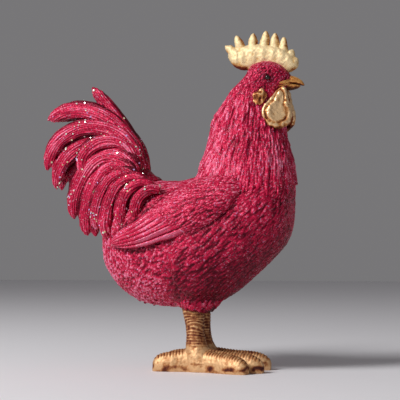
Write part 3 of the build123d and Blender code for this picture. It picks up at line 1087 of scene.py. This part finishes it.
@dataclass
class Fringes:
    """Loose tips: the hackles' fringe over the shoulders and the tufts over the tops of the shanks."""

    resin: bpy.types.Material
    neck_middle: tuple = (46.0, 0.0)
    neck_rows: tuple = ((205.0, 46, 27.0), (198.0, 46, 24.0), (192.0, 44, 19.0))
    thigh_middle: tuple = (-1.0, 13.0)
    thigh_rows: tuple = ((69.0, 18, 10.0), (66.0, 18, 8.0))
    width: float = 4.2
    height: float = 1.7
    cast_mm: float = 120.0
    neck_lie: tuple = (-0.12, 0.0, -1.0)
    thigh_lie: tuple = (-0.15, 0.0, -1.0)
    turn_spread: float = 0.35
    level_spread: float = 2.5
    lie_spread: float = 0.15
    sizes: tuple = (0.75, 1.2)

    def build(self, torso: Skin) -> None:
        """Models the fringes and dresses them.

        Args:
            torso: the finished torso, which the thighs' tufts lie on.
        """
        rng = np.random.default_rng(SEED + 70)
        whole = bmesh.new()
        tree = Shaper.tree("torso", "head_and_neck", "right_wing", "left_wing")
        self.row(whole, tree, self.neck_middle, self.neck_rows, Vector(self.neck_lie), rng)
        self.finish(whole, "hackle_fringe")
        whole = bmesh.new()
        below = bmesh.new()
        below.from_mesh(torso.mesh)
        for side in Side:
            below.from_mesh(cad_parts[side.named("leg")].data)
        tree = BVHTree.FromBMesh(below)
        below.free()
        for side in Side:
            middle = (self.thigh_middle[0], self.thigh_middle[1] * side.value)
            self.row(whole, tree, middle, self.thigh_rows, Vector(self.thigh_lie), rng)
        self.finish(whole, "thigh_fringe")

    def row(self, whole: bmesh.types.BMesh, tree: BVHTree, middle: tuple, rows: tuple, lie: Vector,
            rng: np.random.Generator) -> None:
        """Lays rings of tongues round an upright axis.

        Args:
            whole: the mesh that collects them.
            tree: the surface they lie on.
            middle: the axis, in millimetres about the leg axis.
            rows: each ring's height, number of tongues and their length.
            lie: the way they fall.
            rng: the source of their unevenness.
        """
        for level, count, length in rows:
            for index in range(count):
                angle = math.tau * (index + rng.uniform(-self.turn_spread, self.turn_spread)) / count
                out = Vector((math.cos(angle), math.sin(angle), 0.0))
                height = level + rng.uniform(-self.level_spread, self.level_spread)
                axis = Vector((middle[0] + LEG_AXIS_MM[0], middle[1], height)) * MM
                place = tree.ray_cast(axis + out * self.cast_mm * MM, -out)[0]
                if place is None:
                    continue
                size = rng.uniform(*self.sizes, 3)
                tuft = Tuft(length * size[0], self.width * size[1], self.height * size[2])
                sway = rng.uniform(-self.lie_spread, self.lie_spread, 2)
                tuft.lay(whole, tree, place, lie + Vector((*sway, 0.0)))

    def finish(self, whole: bmesh.types.BMesh, name: str) -> None:
        """Closes a fringe and dresses it.

        Args:
            whole: the mesh that collected the tongues.
            name: the piece's name.
        """
        bmesh.ops.recalc_face_normals(whole, faces=whole.faces)
        skin = Skin.of(Shaper.mesh_of(whole, name))
        skin.paint("tone", 0.62 + 0.3 * GRAIN.at(skin.points / 5.0))
        Shaper.dress(skin.mesh, name, self.resin, Slot.RESIN)


@dataclass
class Wing:
    """A folded wing: small coverts at the shoulder and long quills that close to a point."""

    resin: bpy.types.Material
    side: Side
    voxel: float = 0.65
    shoulder: tuple = (57.0, 184.0)
    tip: tuple = (-80.0, 125.0)
    coverts: Strokes = Strokes(9.0, 2.5, 1.3, 3.0)
    quills: float = 6.5
    quill_rise: float = 1.5
    quill_gap: float = 1.5
    quill_gap_width: float = 0.09
    quill_start: Ramp = Ramp(0.54, 0.08)
    quill_slant: float = 0.13
    quill_bend: float = 0.05
    sunk: float = 0.5
    PARTS = 40

    def build(self) -> Skin:
        """Models the wing and dresses it.

        Returns:
            Its skin.
        """
        node = self.side.named("wing")
        skin = Shaper.seated(node, self.voxel, "torso", "head_and_neck")
        start, end = np.array(self.shoulder), np.array(self.tip)
        run = end - start
        length = np.linalg.norm(run)
        ahead = run / length
        flat = skin.points[:, [0, 2]] - start
        share = flat @ ahead / length
        across = flat @ np.array([ahead[1], -ahead[0]])
        place = self.spread(share, across)
        bend = self.quill_bend * GRAIN.at(np.stack([share * 6.0, place * 2.0, share * 0.0], 1))
        quilled = self.quill_start.at(share - self.quill_slant * place + bend)
        phase = (place + 1.0 + 0.6 * bend) / 2.0 * self.quills
        part = phase - np.floor(phase)
        gap = bell(np.minimum(part, 1.0 - part) / self.quill_gap_width)
        quill = self.quill_rise * part ** 0.7 - self.quill_gap * gap
        lie = np.tile((ahead[0], 0.0, ahead[1]), (len(share), 1))
        lie[:, 2] += 0.35 * GRAIN.at(skin.points / 14.0)
        flow = along_surface(lie, skin.normals)
        coat = self.coverts.lay(skin, flow, 21 + int(self.side.value))
        barbs = 0.3 * GRAIN.at(np.stack([share * 9.0, place * 26.0, share * 0.0 + 5.0], 1))
        heights = coat * (1.0 - quilled) + (quill + barbs) * quilled
        skin.raise_by(heights - self.sunk)
        # The tone paints shade into the valleys between coverts and the gaps between quills
        tone_coat = 0.04 + 0.9 * coat / self.coverts.height
        tone_quill = 0.46 + 0.3 * (quill + barbs)
        skin.paint("tone", tone_coat * (1.0 - quilled) + tone_quill * quilled)
        Shaper.dress(skin.mesh, node + "_plumage", self.resin, Slot.RESIN, node)
        return skin

    @classmethod
    def spread(cls, share: np.ndarray, across: np.ndarray) -> np.ndarray:
        """Place across the wing, from -1 at one edge to 1 at the other.

        Args:
            share: each point's part of the wing's length.
            across: its distance from the wing's line, in millimetres.

        Returns:
            Each point's place across the wing.
        """
        bins = np.clip((share * cls.PARTS).astype(int), 0, cls.PARTS)
        low = np.full(cls.PARTS + 1, np.inf)
        high = -low
        np.minimum.at(low, bins, across)
        np.maximum.at(high, bins, across)
        held = np.flatnonzero(np.isfinite(low))
        shares = (held + 0.5) / cls.PARTS
        bottom = np.interp(share, shares, low[held])
        top = np.interp(share, shares, high[held])
        return 2.0 * (across - bottom) / np.maximum(top - bottom, 1e-6) - 1.0


@dataclass(frozen=True)
class Quill:
    """A tail feather's midrib: its points seen from the side and how far out it lies at root and tip."""

    name: str
    points: tuple
    root_out: float
    tip_out: float
    half_width: float

    def line(self, side: float, count: int = 60) -> np.ndarray:
        """Points along the midrib.

        Args:
            side: the sign of its Y.
            count: how many points.

        Returns:
            Rows of coordinates in millimetres.
        """
        knots = np.array(self.points, float)
        steps = np.concatenate([[0.0], np.cumsum(np.linalg.norm(np.diff(knots, axis=0), axis=1))])
        shares = np.linspace(0.0, 1.0, count)
        where = shares * steps[-1]
        flat = np.zeros((count, 2))
        for i, knot in enumerate(knots):
            weight = np.ones(count)
            for j in range(len(knots)):
                if j != i:
                    weight *= (where - steps[j]) / (steps[i] - steps[j])
            flat += weight[:, None] * knot
        out = side * (self.root_out + (self.tip_out - self.root_out) * shares)
        return np.stack([flat[:, 0], out, flat[:, 1]], 1)


class Tail:
    """The fan of sickles, coverts and saddle feathers, grooved along their length, with stray flakes."""

    VOXEL = 0.65
    CORE_VOXEL = 0.9
    GROOVE_MM = 2.3
    GROOVE_RISE = 0.9
    BARB_RISE = 0.65
    ROOT = Ramp(0.0, 0.2)
    TIP = Ramp(1.0, -0.15)
    EDGE_SHADE = Ramp(0.5, 0.5)
    CREST = Quill("crest_feather", ((-54, 186), (-67, 221), (-90, 256), (-115.5, 288)), 0.0, 0.0, 8.5)
    QUILLS = (
        Quill("top_sickle", ((-60, 200), (-87, 246), (-124, 262.5), (-162.5, 253)), 6.5, 5.0, 10.5),
        Quill("great_sickle", ((-62, 200), (-100, 243), (-143, 234), (-160, 200)), 13.0, 9.0, 9.5),
        Quill("under_sickle", ((-68, 198), (-108, 228), (-139, 213), (-150.5, 181)), 9.0, 7.0, 9.5),
        Quill("short_sickle", ((-66, 196), (-86, 229), (-114, 219), (-116, 193)), 14.0, 17.0, 8.5),
        Quill("tail_covert_1", ((-62, 194), (-97, 213), (-121, 190), (-129, 150)), 17.0, 11.0, 10.0),
        Quill("tail_covert_2", ((-62, 189), (-91, 202), (-109, 179), (-114, 133)), 19.0, 12.0, 10.0),
        Quill("tail_covert_3", ((-58, 185), (-79, 194), (-97, 174), (-102, 139)), 24.0, 19.0, 8.5),
        Quill("saddle_feather_1", ((-47, 184), (-69, 187), (-84, 168), (-87, 129)), 27.0, 31.0, 8.0),
        Quill("saddle_feather_2", ((-40, 181), (-57, 182), (-69, 166), (-69, 142)), 31.0, 38.0, 7.5),
        Quill("saddle_feather_3", ((-31, 178), (-44, 176), (-53, 164), (-54, 150)), 35.0, 42.0, 7.0),
    )
    FLAKES_PER_FEATHER = 34
    FLAKE_CLUSTERS = 4
    CLUSTER_MM = 5.0
    FLAKE_MM = 1.15
    FLAKE_THICK_MM = 0.3
    FLAKE_LIFT_MM = 0.3
    FLAKE_LEAN = 0.3
    SMALLEST_FLAKE = 0.5
    STRAY_FLAKES = 0.05
    FACING_OUT = 0.35

    def __init__(self, resin: bpy.types.Material, foil: bpy.types.Material) -> None:
        """Keeps the finishes.

        Args:
            resin: the feathers' finish.
            foil: the flakes' finish.
        """
        self.resin = resin
        self.foil = foil
        self.laid = ["torso", "right_wing", "left_wing", "tail_core"]

    def build(self) -> None:
        """Models every feather, the core and the flakes, and dresses them."""
        self.core()
        skins = [self.feather(self.CREST, "crest_feather", 1.0)]
        for quill in self.QUILLS:
            nodes = [(side, side.named(quill.name)) for side in Side]
            for side, node in nodes:
                skins.append(self.feather(quill, node, side.value))
            self.laid += [node for _, node in nodes]
        self.flakes(skins)

    def core(self) -> None:
        """The fan between the feathers, streaked from its root."""
        skin = Shaper.seated("tail_core", self.CORE_VOXEL)
        streaks = GRAIN.at(skin.points / (9.0, 3.0, 2.2))
        skin.raise_by(0.5 * streaks)
        # The core is painted darker than the feathers, as shade between them, with lighter streaks on its
        # raised lines
        skin.paint("tone", 0.32 + 0.2 * streaks)
        Shaper.dress(skin.mesh, "tail_core_skin", self.resin, Slot.RESIN, "tail_core")

    def feather(self, quill: Quill, node: str, side: float) -> Skin:
        """One feather, grooved along its midrib.

        Args:
            quill: its midrib.
            node: the CAD node it stands for.
            side: the sign of its Y.

        Returns:
            Its skin.
        """
        skin = Shaper.seated(node, self.VOXEL, *self.laid)
        line = quill.line(side)
        heading = np.gradient(line, axis=0)
        heading /= np.linalg.norm(heading, axis=1, keepdims=True)
        near = np.argmin(((skin.points[:, None, :] - line[None, :, :]) ** 2).sum(2), axis=1)
        offset = skin.points - line[near]
        wide = np.cross(heading[near], (0.0, 1.0, 0.0))
        across = (offset * wide).sum(1)
        share = near / (len(line) - 1)
        length = np.linalg.norm(np.diff(line, axis=0), axis=1).sum()
        shift = float(sum(map(ord, node)) % 50)
        far = share * length
        sway = GRAIN.at(np.stack([far / 26.0, across / 9.0, offset[:, 1] / 9.0 + shift], 1))
        phase = across / self.GROOVE_MM + 0.9 * sway + shift
        groove = np.abs(np.sin(math.pi * phase)) ** 0.6
        barbs = GRAIN.at(np.stack([far / 12.0 + shift, across / 0.9, offset[:, 1] / 1.6], 1))
        fade = self.ROOT.at(share) * (0.55 + 0.45 * self.TIP.at(share))
        skin.raise_by(fade * (self.GROOVE_RISE * (groove - 0.7) + self.BARB_RISE * barbs))
        edge_shade = self.EDGE_SHADE.at(np.abs(across) / quill.half_width)
        # The tone paints shade into the grooves and towards the feather's edges, where the feathers lie
        # over each other
        skin.paint("tone", 0.52 + 0.36 * (groove - 0.6) + 0.26 * barbs - 0.65 * edge_shade)
        Shaper.dress(skin.mesh, node + "_vane", self.resin, Slot.RESIN, node)
        return skin

    def flakes(self, skins: list[Skin]) -> None:
        """Large flakes stuck here and there on the feathers.

        Args:
            skins: the feathers' skins.
        """
        rng = np.random.default_rng(SEED + 90)
        whole = bmesh.new()
        tints = []
        for skin in skins:
            outer = np.flatnonzero(np.abs(skin.normals[:, 1]) > self.FACING_OUT)
            middles = skin.points[rng.choice(outer, self.FLAKE_CLUSTERS)]
            gaps = np.linalg.norm(skin.points[outer][:, None] - middles, axis=2).min(1)
            chance = self.STRAY_FLAKES + bell(gaps / self.CLUSTER_MM)
            chance /= chance.sum()
            for index in rng.choice(outer, self.FLAKES_PER_FEATHER, replace=False, p=chance):
                normal = skin.normals[index]
                lean = Vector(normal + rng.normal(0.0, self.FLAKE_LEAN, 3)).normalized()
                place = Vector((skin.points[index] + LEG_AXIS_MM + normal * self.FLAKE_LIFT_MM) * MM)
                turn = lean.to_track_quat("Z", "Y").to_matrix().to_4x4()
                radius = self.FLAKE_MM * rng.uniform(self.SMALLEST_FLAKE, 1.0) * MM
                flake = bmesh.ops.create_cone(
                    whole, cap_ends=True, segments=6, radius1=radius, radius2=radius,
                    depth=self.FLAKE_THICK_MM * MM, matrix=Matrix.Translation(place) @ turn)
                tints += [rng.uniform()] * len(flake["verts"])
        mesh = Shaper.mesh_of(whole, "tail_flakes")
        layer = mesh.attributes.new("tint", "FLOAT", "POINT")
        layer.data.foreach_set("value", np.array(tints, np.float32))
        piece = Shaper.dress(mesh, "tail_flakes", self.foil, Slot.RESIN)
        piece.data.shade_flat()


@dataclass
class Crown:
    """The comb, beak, wattles, ear lobes and eyes."""

    leaf: bpy.types.Material
    flesh: bpy.types.Material
    beak: bpy.types.Material
    glass: bpy.types.Material
    comb_ribs: tuple = (38.0, 44.0, 54.5, 65.5, 76.0, 84.5, 91.5)
    rib_width: float = 2.6
    rib_bottom: Ramp = Ramp(298.0, 10.0)
    rib_top: Ramp = Ramp(322.0, 8.0)
    comb_foot: Ramp = Ramp(301.0, -7.0)
    comb_points: Ramp = Ramp(314.0, 6.0)
    comb_tips: Ramp = Ramp(320.0, 9.0)
    comb_rear: Ramp = Ramp(58.0, -14.0)
    comb_under: Ramp = Ramp(-0.1, -0.6)
    underside_shade: Ramp = Ramp(-0.2, -0.5)
    wattle_top: tuple = (86.5, 10.0, 278.0)
    wattle_foot: tuple = (79.5, 18.5, 239.0)
    wattle_inside: Ramp = Ramp(2.2, 1.6)
    wattle_groove: Hump = Hump(4.5, 1.6)
    nostril: tuple = (93.0, 7.0, 286.0)
    nostril_width: float = 1.3
    beak_plump: float = 0.4
    lips: tuple = (
        ((84.0, 15.5, 280.6), Tuft(17.0, 3.8, 1.6)),
        ((84.0, 15.5, 276.3), Tuft(15.0, 2.0, 1.1)))
    lip_lie: tuple = (11.5, -6.5, 2.4)

    def build(self) -> None:
        """Models each piece and dresses it."""
        self.comb()
        for node in ("upper_beak", "lower_beak"):
            self.horn(node)
        self.gape()
        for side in Side:
            self.wattle(side)
            self.ear_lobe(side.named("ear_lobe"))
            self.bead(side.named("eye"))

    def comb(self) -> None:
        """The comb, ribbed under its blunt points and crumpled all over."""
        skin = Shaper.seated("comb", 0.5, "head_and_neck", "upper_beak", rounds=2)
        x, _, z = skin.points.T
        rib = np.zeros(len(x))
        for middle in self.comb_ribs:
            rib = np.maximum(rib, bell((x - middle) / self.rib_width))
        rib *= self.rib_bottom.at(z) * (1.0 - self.rib_top.at(z))
        points = self.comb_points.at(z)
        folds = self.folds(skin)
        # Painted shade: faces turned towards +x are darker as the side away from the light, and so is the
        # rear underside; the tone is also darker towards the foot
        ahead = smooth_step(skin.normals[:, 0] * 1.6)
        rear_underside_shade = self.comb_under.at(skin.normals[:, 2]) * self.comb_rear.at(x)
        skin.raise_by(0.2 * points + 0.7 * self.comb_tips.at(z) + 0.7 * rib * (1.0 - points) + 0.5 * folds)
        tone = 0.84 + 0.26 * folds - 0.3 * self.comb_foot.at(z) - 0.75 * rear_underside_shade
        skin.paint("tone", tone - ahead * (0.2 + 0.3 * points))
        Shaper.dress(skin.mesh, "comb_leafed", self.leaf, Slot.LEAF, "comb")

    @staticmethod
    def folds(skin: Skin) -> np.ndarray:
        """Creases of the leaf, large and small.

        Args:
            skin: the gilded surface.

        Returns:
            Their relief, from about -1 to 1.
        """
        large = 1.0 - 2.0 * np.abs(GRAIN.at(skin.points / 6.0))
        small = GRAIN.at(skin.points / 2.0 + 20.0)
        return 0.55 * large + 0.45 * small

    def wattle(self, side: Side) -> None:
        """A wattle: a rolled rim, a dark groove inside it and a crumpled middle.

        Args:
            side: which one.
        """
        node = side.named("wattle")
        skin = Shaper.seated(node, 0.4, "head_and_neck", rounds=2)
        top = np.array(self.wattle_top)
        run = np.array(self.wattle_foot) - top
        down = run / np.linalg.norm(run)
        out = along_surface(np.array([[0.0, 1.0, 0.0]]), down[None])[0]
        offset = skin.points * (1.0, side.value, 1.0) - top
        inset = self.inset(np.stack([offset @ np.cross(down, out), offset @ down], 1))
        rim = 1.0 - self.wattle_inside.at(inset)
        groove = self.wattle_groove.at(inset + 1.2 * GRAIN.at(skin.points / 6.0 + 2.0))
        folds = self.folds(skin)
        skin.raise_by(0.7 * rim - 0.8 * groove + 0.7 * folds)
        # The underside is painted darker as shade; the groove is darker too
        under = self.underside_shade.at(skin.normals[:, 2])
        skin.paint("tone", 0.81 + 0.46 * folds - 0.52 * groove - 0.62 * under)
        Shaper.dress(skin.mesh, node + "_leafed", self.flesh, Slot.LEAF, node)

    @staticmethod
    def inset(flat: np.ndarray) -> np.ndarray:
        """How far points of a round lobe lie inside its outline.

        Args:
            flat: their places on the lobe's face, in millimetres.

        Returns:
            Distances in millimetres.
        """
        turns = 48
        offset = flat - (flat.min(0) + flat.max(0)) / 2.0
        reach = np.linalg.norm(offset, axis=1)
        where = (np.arctan2(offset[:, 0], offset[:, 1]) / math.tau + 0.5) * turns
        outline = np.zeros(turns)
        np.maximum.at(outline, where.astype(int) % turns, reach)
        outline = (np.roll(outline, 1) + 2.0 * outline + np.roll(outline, -1)) / 4.0
        return np.interp(where, np.arange(turns) + 0.5, outline, period=turns) - reach

    def ear_lobe(self, node: str) -> None:
        """An ear lobe, crumpled into short strands.

        Args:
            node: the CAD node.
        """
        skin = Shaper.seated(node, 0.3, "head_and_neck", rounds=2)
        strands = GRAIN.at(skin.points / (2.4, 2.4, 6.0) + 31.0)
        curls = 1.0 - 2.0 * np.abs(GRAIN.at(skin.points / 3.2 + 5.0))
        ragged = GRAIN.at(skin.points / 5.0 + 13.0)
        relief = 0.55 * strands + 0.45 * curls
        skin.raise_by(1.3 * relief + 1.4 * ragged)
        # The tone follows the relief, so the hollows between the strands get painted shade
        skin.paint("tone", 0.36 + 0.8 * relief)
        Shaper.dress(skin.mesh, node + "_leafed", self.flesh, Slot.LEAF, node)

    def horn(self, node: str) -> None:
        """One half of the beak.

        Args:
            node: the CAD node.
        """
        skin = Shaper.seated(node, 0.4, "head_and_neck", rounds=1)
        lines = GRAIN.at(skin.points / (6.0, 1.6, 1.6))
        nostril = bell(np.linalg.norm(skin.mirrored - self.nostril, axis=1) / self.nostril_width)
        under = self.underside_shade.at(skin.normals[:, 2])
        skin.raise_by(self.beak_plump + 0.16 * lines - 0.6 * nostril)
        # The nostril and the underside are painted darker, as shade
        skin.paint("tone", 0.68 + 0.22 * lines - 0.5 * nostril - 0.5 * under)
        Shaper.dress(skin.mesh, node + "_horn", self.beak, Slot.BEAK_GOLD, node)

    def gape(self) -> None:
        """The corners of the mouth: two gilded lips on each side that run back from the beak."""
        tree = Shaper.tree("head_and_neck")
        whole = bmesh.new()
        for side, (start, lip) in itertools.product(Side, self.lips):
            mirror = Vector((1.0, side.value, 1.0))
            root = (Vector(start) * mirror + Vector(LEG_AXIS_MM)) * MM
            lip.lay(whole, tree, root, Vector(self.lip_lie) * mirror)
        bmesh.ops.recalc_face_normals(whole, faces=whole.faces)
        skin = Skin.of(Shaper.mesh_of(whole, "beak_gape"))
        skin.paint("tone", 0.7 + 0.2 * GRAIN.at(skin.points / 3.0))
        Shaper.dress(skin.mesh, "beak_gape", self.beak, Slot.BEAK_GOLD)

    def bead(self, node: str) -> None:
        """A round glass eye in the place of its CAD cap.

        Args:
            node: the CAD node.
        """
        low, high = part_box(node)
        whole = bmesh.new()
        bmesh.ops.create_uvsphere(whole, u_segments=32, v_segments=16, radius=(high.z - low.z) / 2.0,
                                  matrix=Matrix.Translation((low + high) / 2.0))
        Shaper.dress(Shaper.mesh_of(whole, node), node + "_bead", self.glass, Slot.EYE, node)


@dataclass
class Leg:
    """A gilded leg: wrinkled shank, scaled toes and a flat sole."""

    gold: bpy.types.Material
    steel: bpy.types.Material
    side: Side
    voxel: float = 0.5
    ring_mm: float = 3.1
    scale_mm: float = 3.0
    ankle: tuple = (2.0, 14.5)
    line_share: float = 0.17
    shank: Ramp = Ramp(21.0, 8.0)
    toe_start: Ramp = Ramp(9.0, 5.0)
    toe_top: Ramp = Ramp(0.35, 0.4)
    toe_side: Ramp = Ramp(0.8, 2.0)
    sole: Ramp = Ramp(0.0, 1.5)
    stain_and_shade: Hump = Hump(4.6, 2.8)

    def build(self) -> None:
        """Models the leg, dresses it and finishes its rod."""
        node = self.side.named("leg")
        skin = Shaper.seated(node, self.voxel)
        x, y, z = skin.points.T
        phase = z / self.ring_mm + 1.1 * GRAIN.at(skin.points / (14.0, 14.0, 8.0) + 4.0)
        fold = 0.35 + 0.65 * smooth_step(0.5 + GRAIN.at(skin.points / (6.0, 6.0, 4.0) + 9.0))
        wrinkle = fold * bell((phase - np.round(phase)) / self.line_share)
        shank = self.shank.at(z)
        away = np.hypot(x - self.ankle[0], y - self.side.value * self.ankle[1])
        notch = bell((away / self.scale_mm - np.round(away / self.scale_mm)) / self.line_share)
        top = self.toe_top.at(skin.normals[:, 2]) * (1.0 - shank) * self.toe_start.at(away)
        folds = Crown.folds(skin)
        stained_and_shaded = self.stain_and_shade.at(z + 2.6 * GRAIN.at(skin.points / 7.0))
        loose = (1.0 - top) * self.toe_side.at(z)
        heights = shank * 0.5 * (wrinkle - 0.3) + top * 0.75 * (0.4 - notch) + loose * 0.35 * folds
        skin.raise_by(heights * self.sole.at(z))
        blotch = smooth_step(0.55 + GRAIN.at(skin.points / (9.0, 9.0, 5.0) + 17.0))
        # Painted highlight: the wrinkle crests on the shank are lighter. Painted shade and the ground
        # showing: the low band of the toes is darker in blotches
        tone = 0.78 + 0.24 * folds - shank * (0.5 - 0.55 * wrinkle) - top * (0.2 + 0.3 * notch)
        skin.paint("tone", tone - 0.7 * stained_and_shaded * (1.0 - shank) * blotch)
        Shaper.dress(skin.mesh, node + "_gilded", self.gold, Slot.LEG_GOLD, node)
        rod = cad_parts[self.side.named("leg_rod")]
        rod.data.materials.clear()
        rod.data.materials.append(self.steel)


@dataclass
class Studio:
    """Floor, soft light and the camera at the photo's view."""

    azimuth: float = 15.0
    distance: float = 1.150
    height: float = 0.105
    aim_height: float = 0.169
    field_deg: float = 19.7
    near_clip: float = 0.01
    floor: str = "E8E6E9"
    floor_size: float = 6.0
    lamp_size: float = 0.9
    key_place: tuple = (-1.65, 1.5, 1.25)
    key_power: float = 68.0
    fill_place: tuple = (0.9, 0.35, 1.1)
    fill_power: float = 0.4
    world_strength: float = 0.23

    def build(self) -> None:
        """Sets the stage."""
        scene = bpy.context.scene
        scene.view_settings.view_transform = "Standard"
        aim = Vector((LEG_AXIS_MM[0] * MM, 0.0, self.aim_height))
        turn = math.radians(self.azimuth)
        back = Vector((math.sin(turn), -math.cos(turn), 0.0))
        right = Vector((math.cos(turn), math.sin(turn), 0.0))
        self.camera(aim, Vector((aim.x, aim.y, self.height)) + back * self.distance)
        up = Vector((0.0, 0.0, 1.0))
        lamps = (("key", self.key_place, self.key_power), ("fill", self.fill_place, self.fill_power))
        for name, (aside, above, away), power in lamps:
            self.lamp(name, aim, aim + right * aside + up * above + back * away, power)
        self.surroundings(scene)
        self.ground()

    def camera(self, aim: Vector, place: Vector) -> None:
        """Makes the camera.

        Args:
            aim: the point in the middle of the picture.
            place: where the camera stands.
        """
        lens = bpy.data.cameras.new("camera")
        lens.angle = math.radians(self.field_deg)
        lens.clip_start = self.near_clip
        bpy.context.scene.camera = self.hang(lens, aim, place)

    def lamp(self, name: str, aim: Vector, place: Vector, power: float) -> None:
        """Makes a soft square lamp.

        Args:
            name: its name.
            aim: the point it shines at.
            place: where it hangs.
            power: its power in watts.
        """
        light = bpy.data.lights.new(name, "AREA")
        light.size = self.lamp_size
        light.energy = power
        self.hang(light, aim, place)

    @staticmethod
    def hang(data: bpy.types.ID, aim: Vector, place: Vector) -> bpy.types.Object:
        """Puts a camera or a lamp in the scene and turns it to a point.

        Args:
            data: the camera or lamp.
            aim: the point it faces.
            place: where it goes.

        Returns:
            Its object.
        """
        thing = bpy.data.objects.new(data.name, data)
        thing.location = place
        thing.rotation_euler = (aim - place).to_track_quat("-Z", "Y").to_euler()
        bpy.context.scene.collection.objects.link(thing)
        return thing

    def surroundings(self, scene: bpy.types.Scene) -> None:
        """A pale room that shows as the backdrop and in reflections.

        Args:
            scene: the scene.
        """
        world = bpy.data.worlds.new("pale_room")
        world.use_nodes = True
        scene.world = world
        tree = world.node_tree
        Finish.plug(tree, tree.nodes["Background"],
                    {"Color": linear(self.floor), "Strength": self.world_strength})

    def ground(self) -> None:
        """A plain pale floor."""
        whole = bmesh.new()
        bmesh.ops.create_grid(whole, x_segments=1, y_segments=1, size=self.floor_size)
        mesh = Shaper.mesh_of(whole, "floor")
        tree, shader, material = Finish().start("painted_board")
        place = Finish.add(tree, "TexCoord").outputs["Object"]
        grain = Finish.add(tree, "TexNoise", None, {"Vector": place, "Scale": 40.0})
        rough = Finish.add(tree, "MapRange", None,
                           {"Value": grain.outputs["Fac"], "To Min": 0.55, "To Max": 0.7})
        Finish.plug(tree, shader, {"Base Color": linear(self.floor), "Roughness": rough.outputs["Result"]})
        mesh.materials.append(material)
        floor = bpy.data.objects.new("floor", mesh)
        bpy.context.scene.collection.objects.link(floor)


def main() -> None:
    """Builds the bird, piece by piece, and the studio round it."""
    logging.basicConfig(level=logging.INFO, format="%(name)s %(message)s")
    resin = GlitterResin().material()
    leaf = GoldLeaf("burnished_gold_leaf", "E3CA9C", "D2AA6E", "A5642F", "6A2410",
                    roughness=0.62, metallic=0.4)
    flesh_gold = GoldLeaf("toned_gold_leaf", "F0C896", "CC8C50", "8C4A1E", "5A1E0A",
                          metallic=0.55).material()
    leg_gold = GoldLeaf("antique_gold_leaf", "D5A97A", "B27A4A", "74371E", "46160E",
                        roughness=0.54, metallic=0.5).material()
    beak_gold = GoldLeaf("satin_ochre_gold", "EBAE64", "CE8540", "8C4A1C", "52240D",
                         roughness=0.42, metallic=0.55)
    torso = Torso(resin).build()
    HeadAndNeck(resin).build()
    Fringes(resin).build(torso)
    for side in Side:
        Wing(resin, side).build()
    Tail(resin, FlakeFoil().material()).build()
    Crown(leaf.material(), flesh_gold, beak_gold.material(), EyeGlass().material()).build()
    steel = DrawnSteel().material()
    for side in Side:
        Leg(leg_gold, steel, side).build()
    Studio().build()


if __name__ == "__main__":
    main()
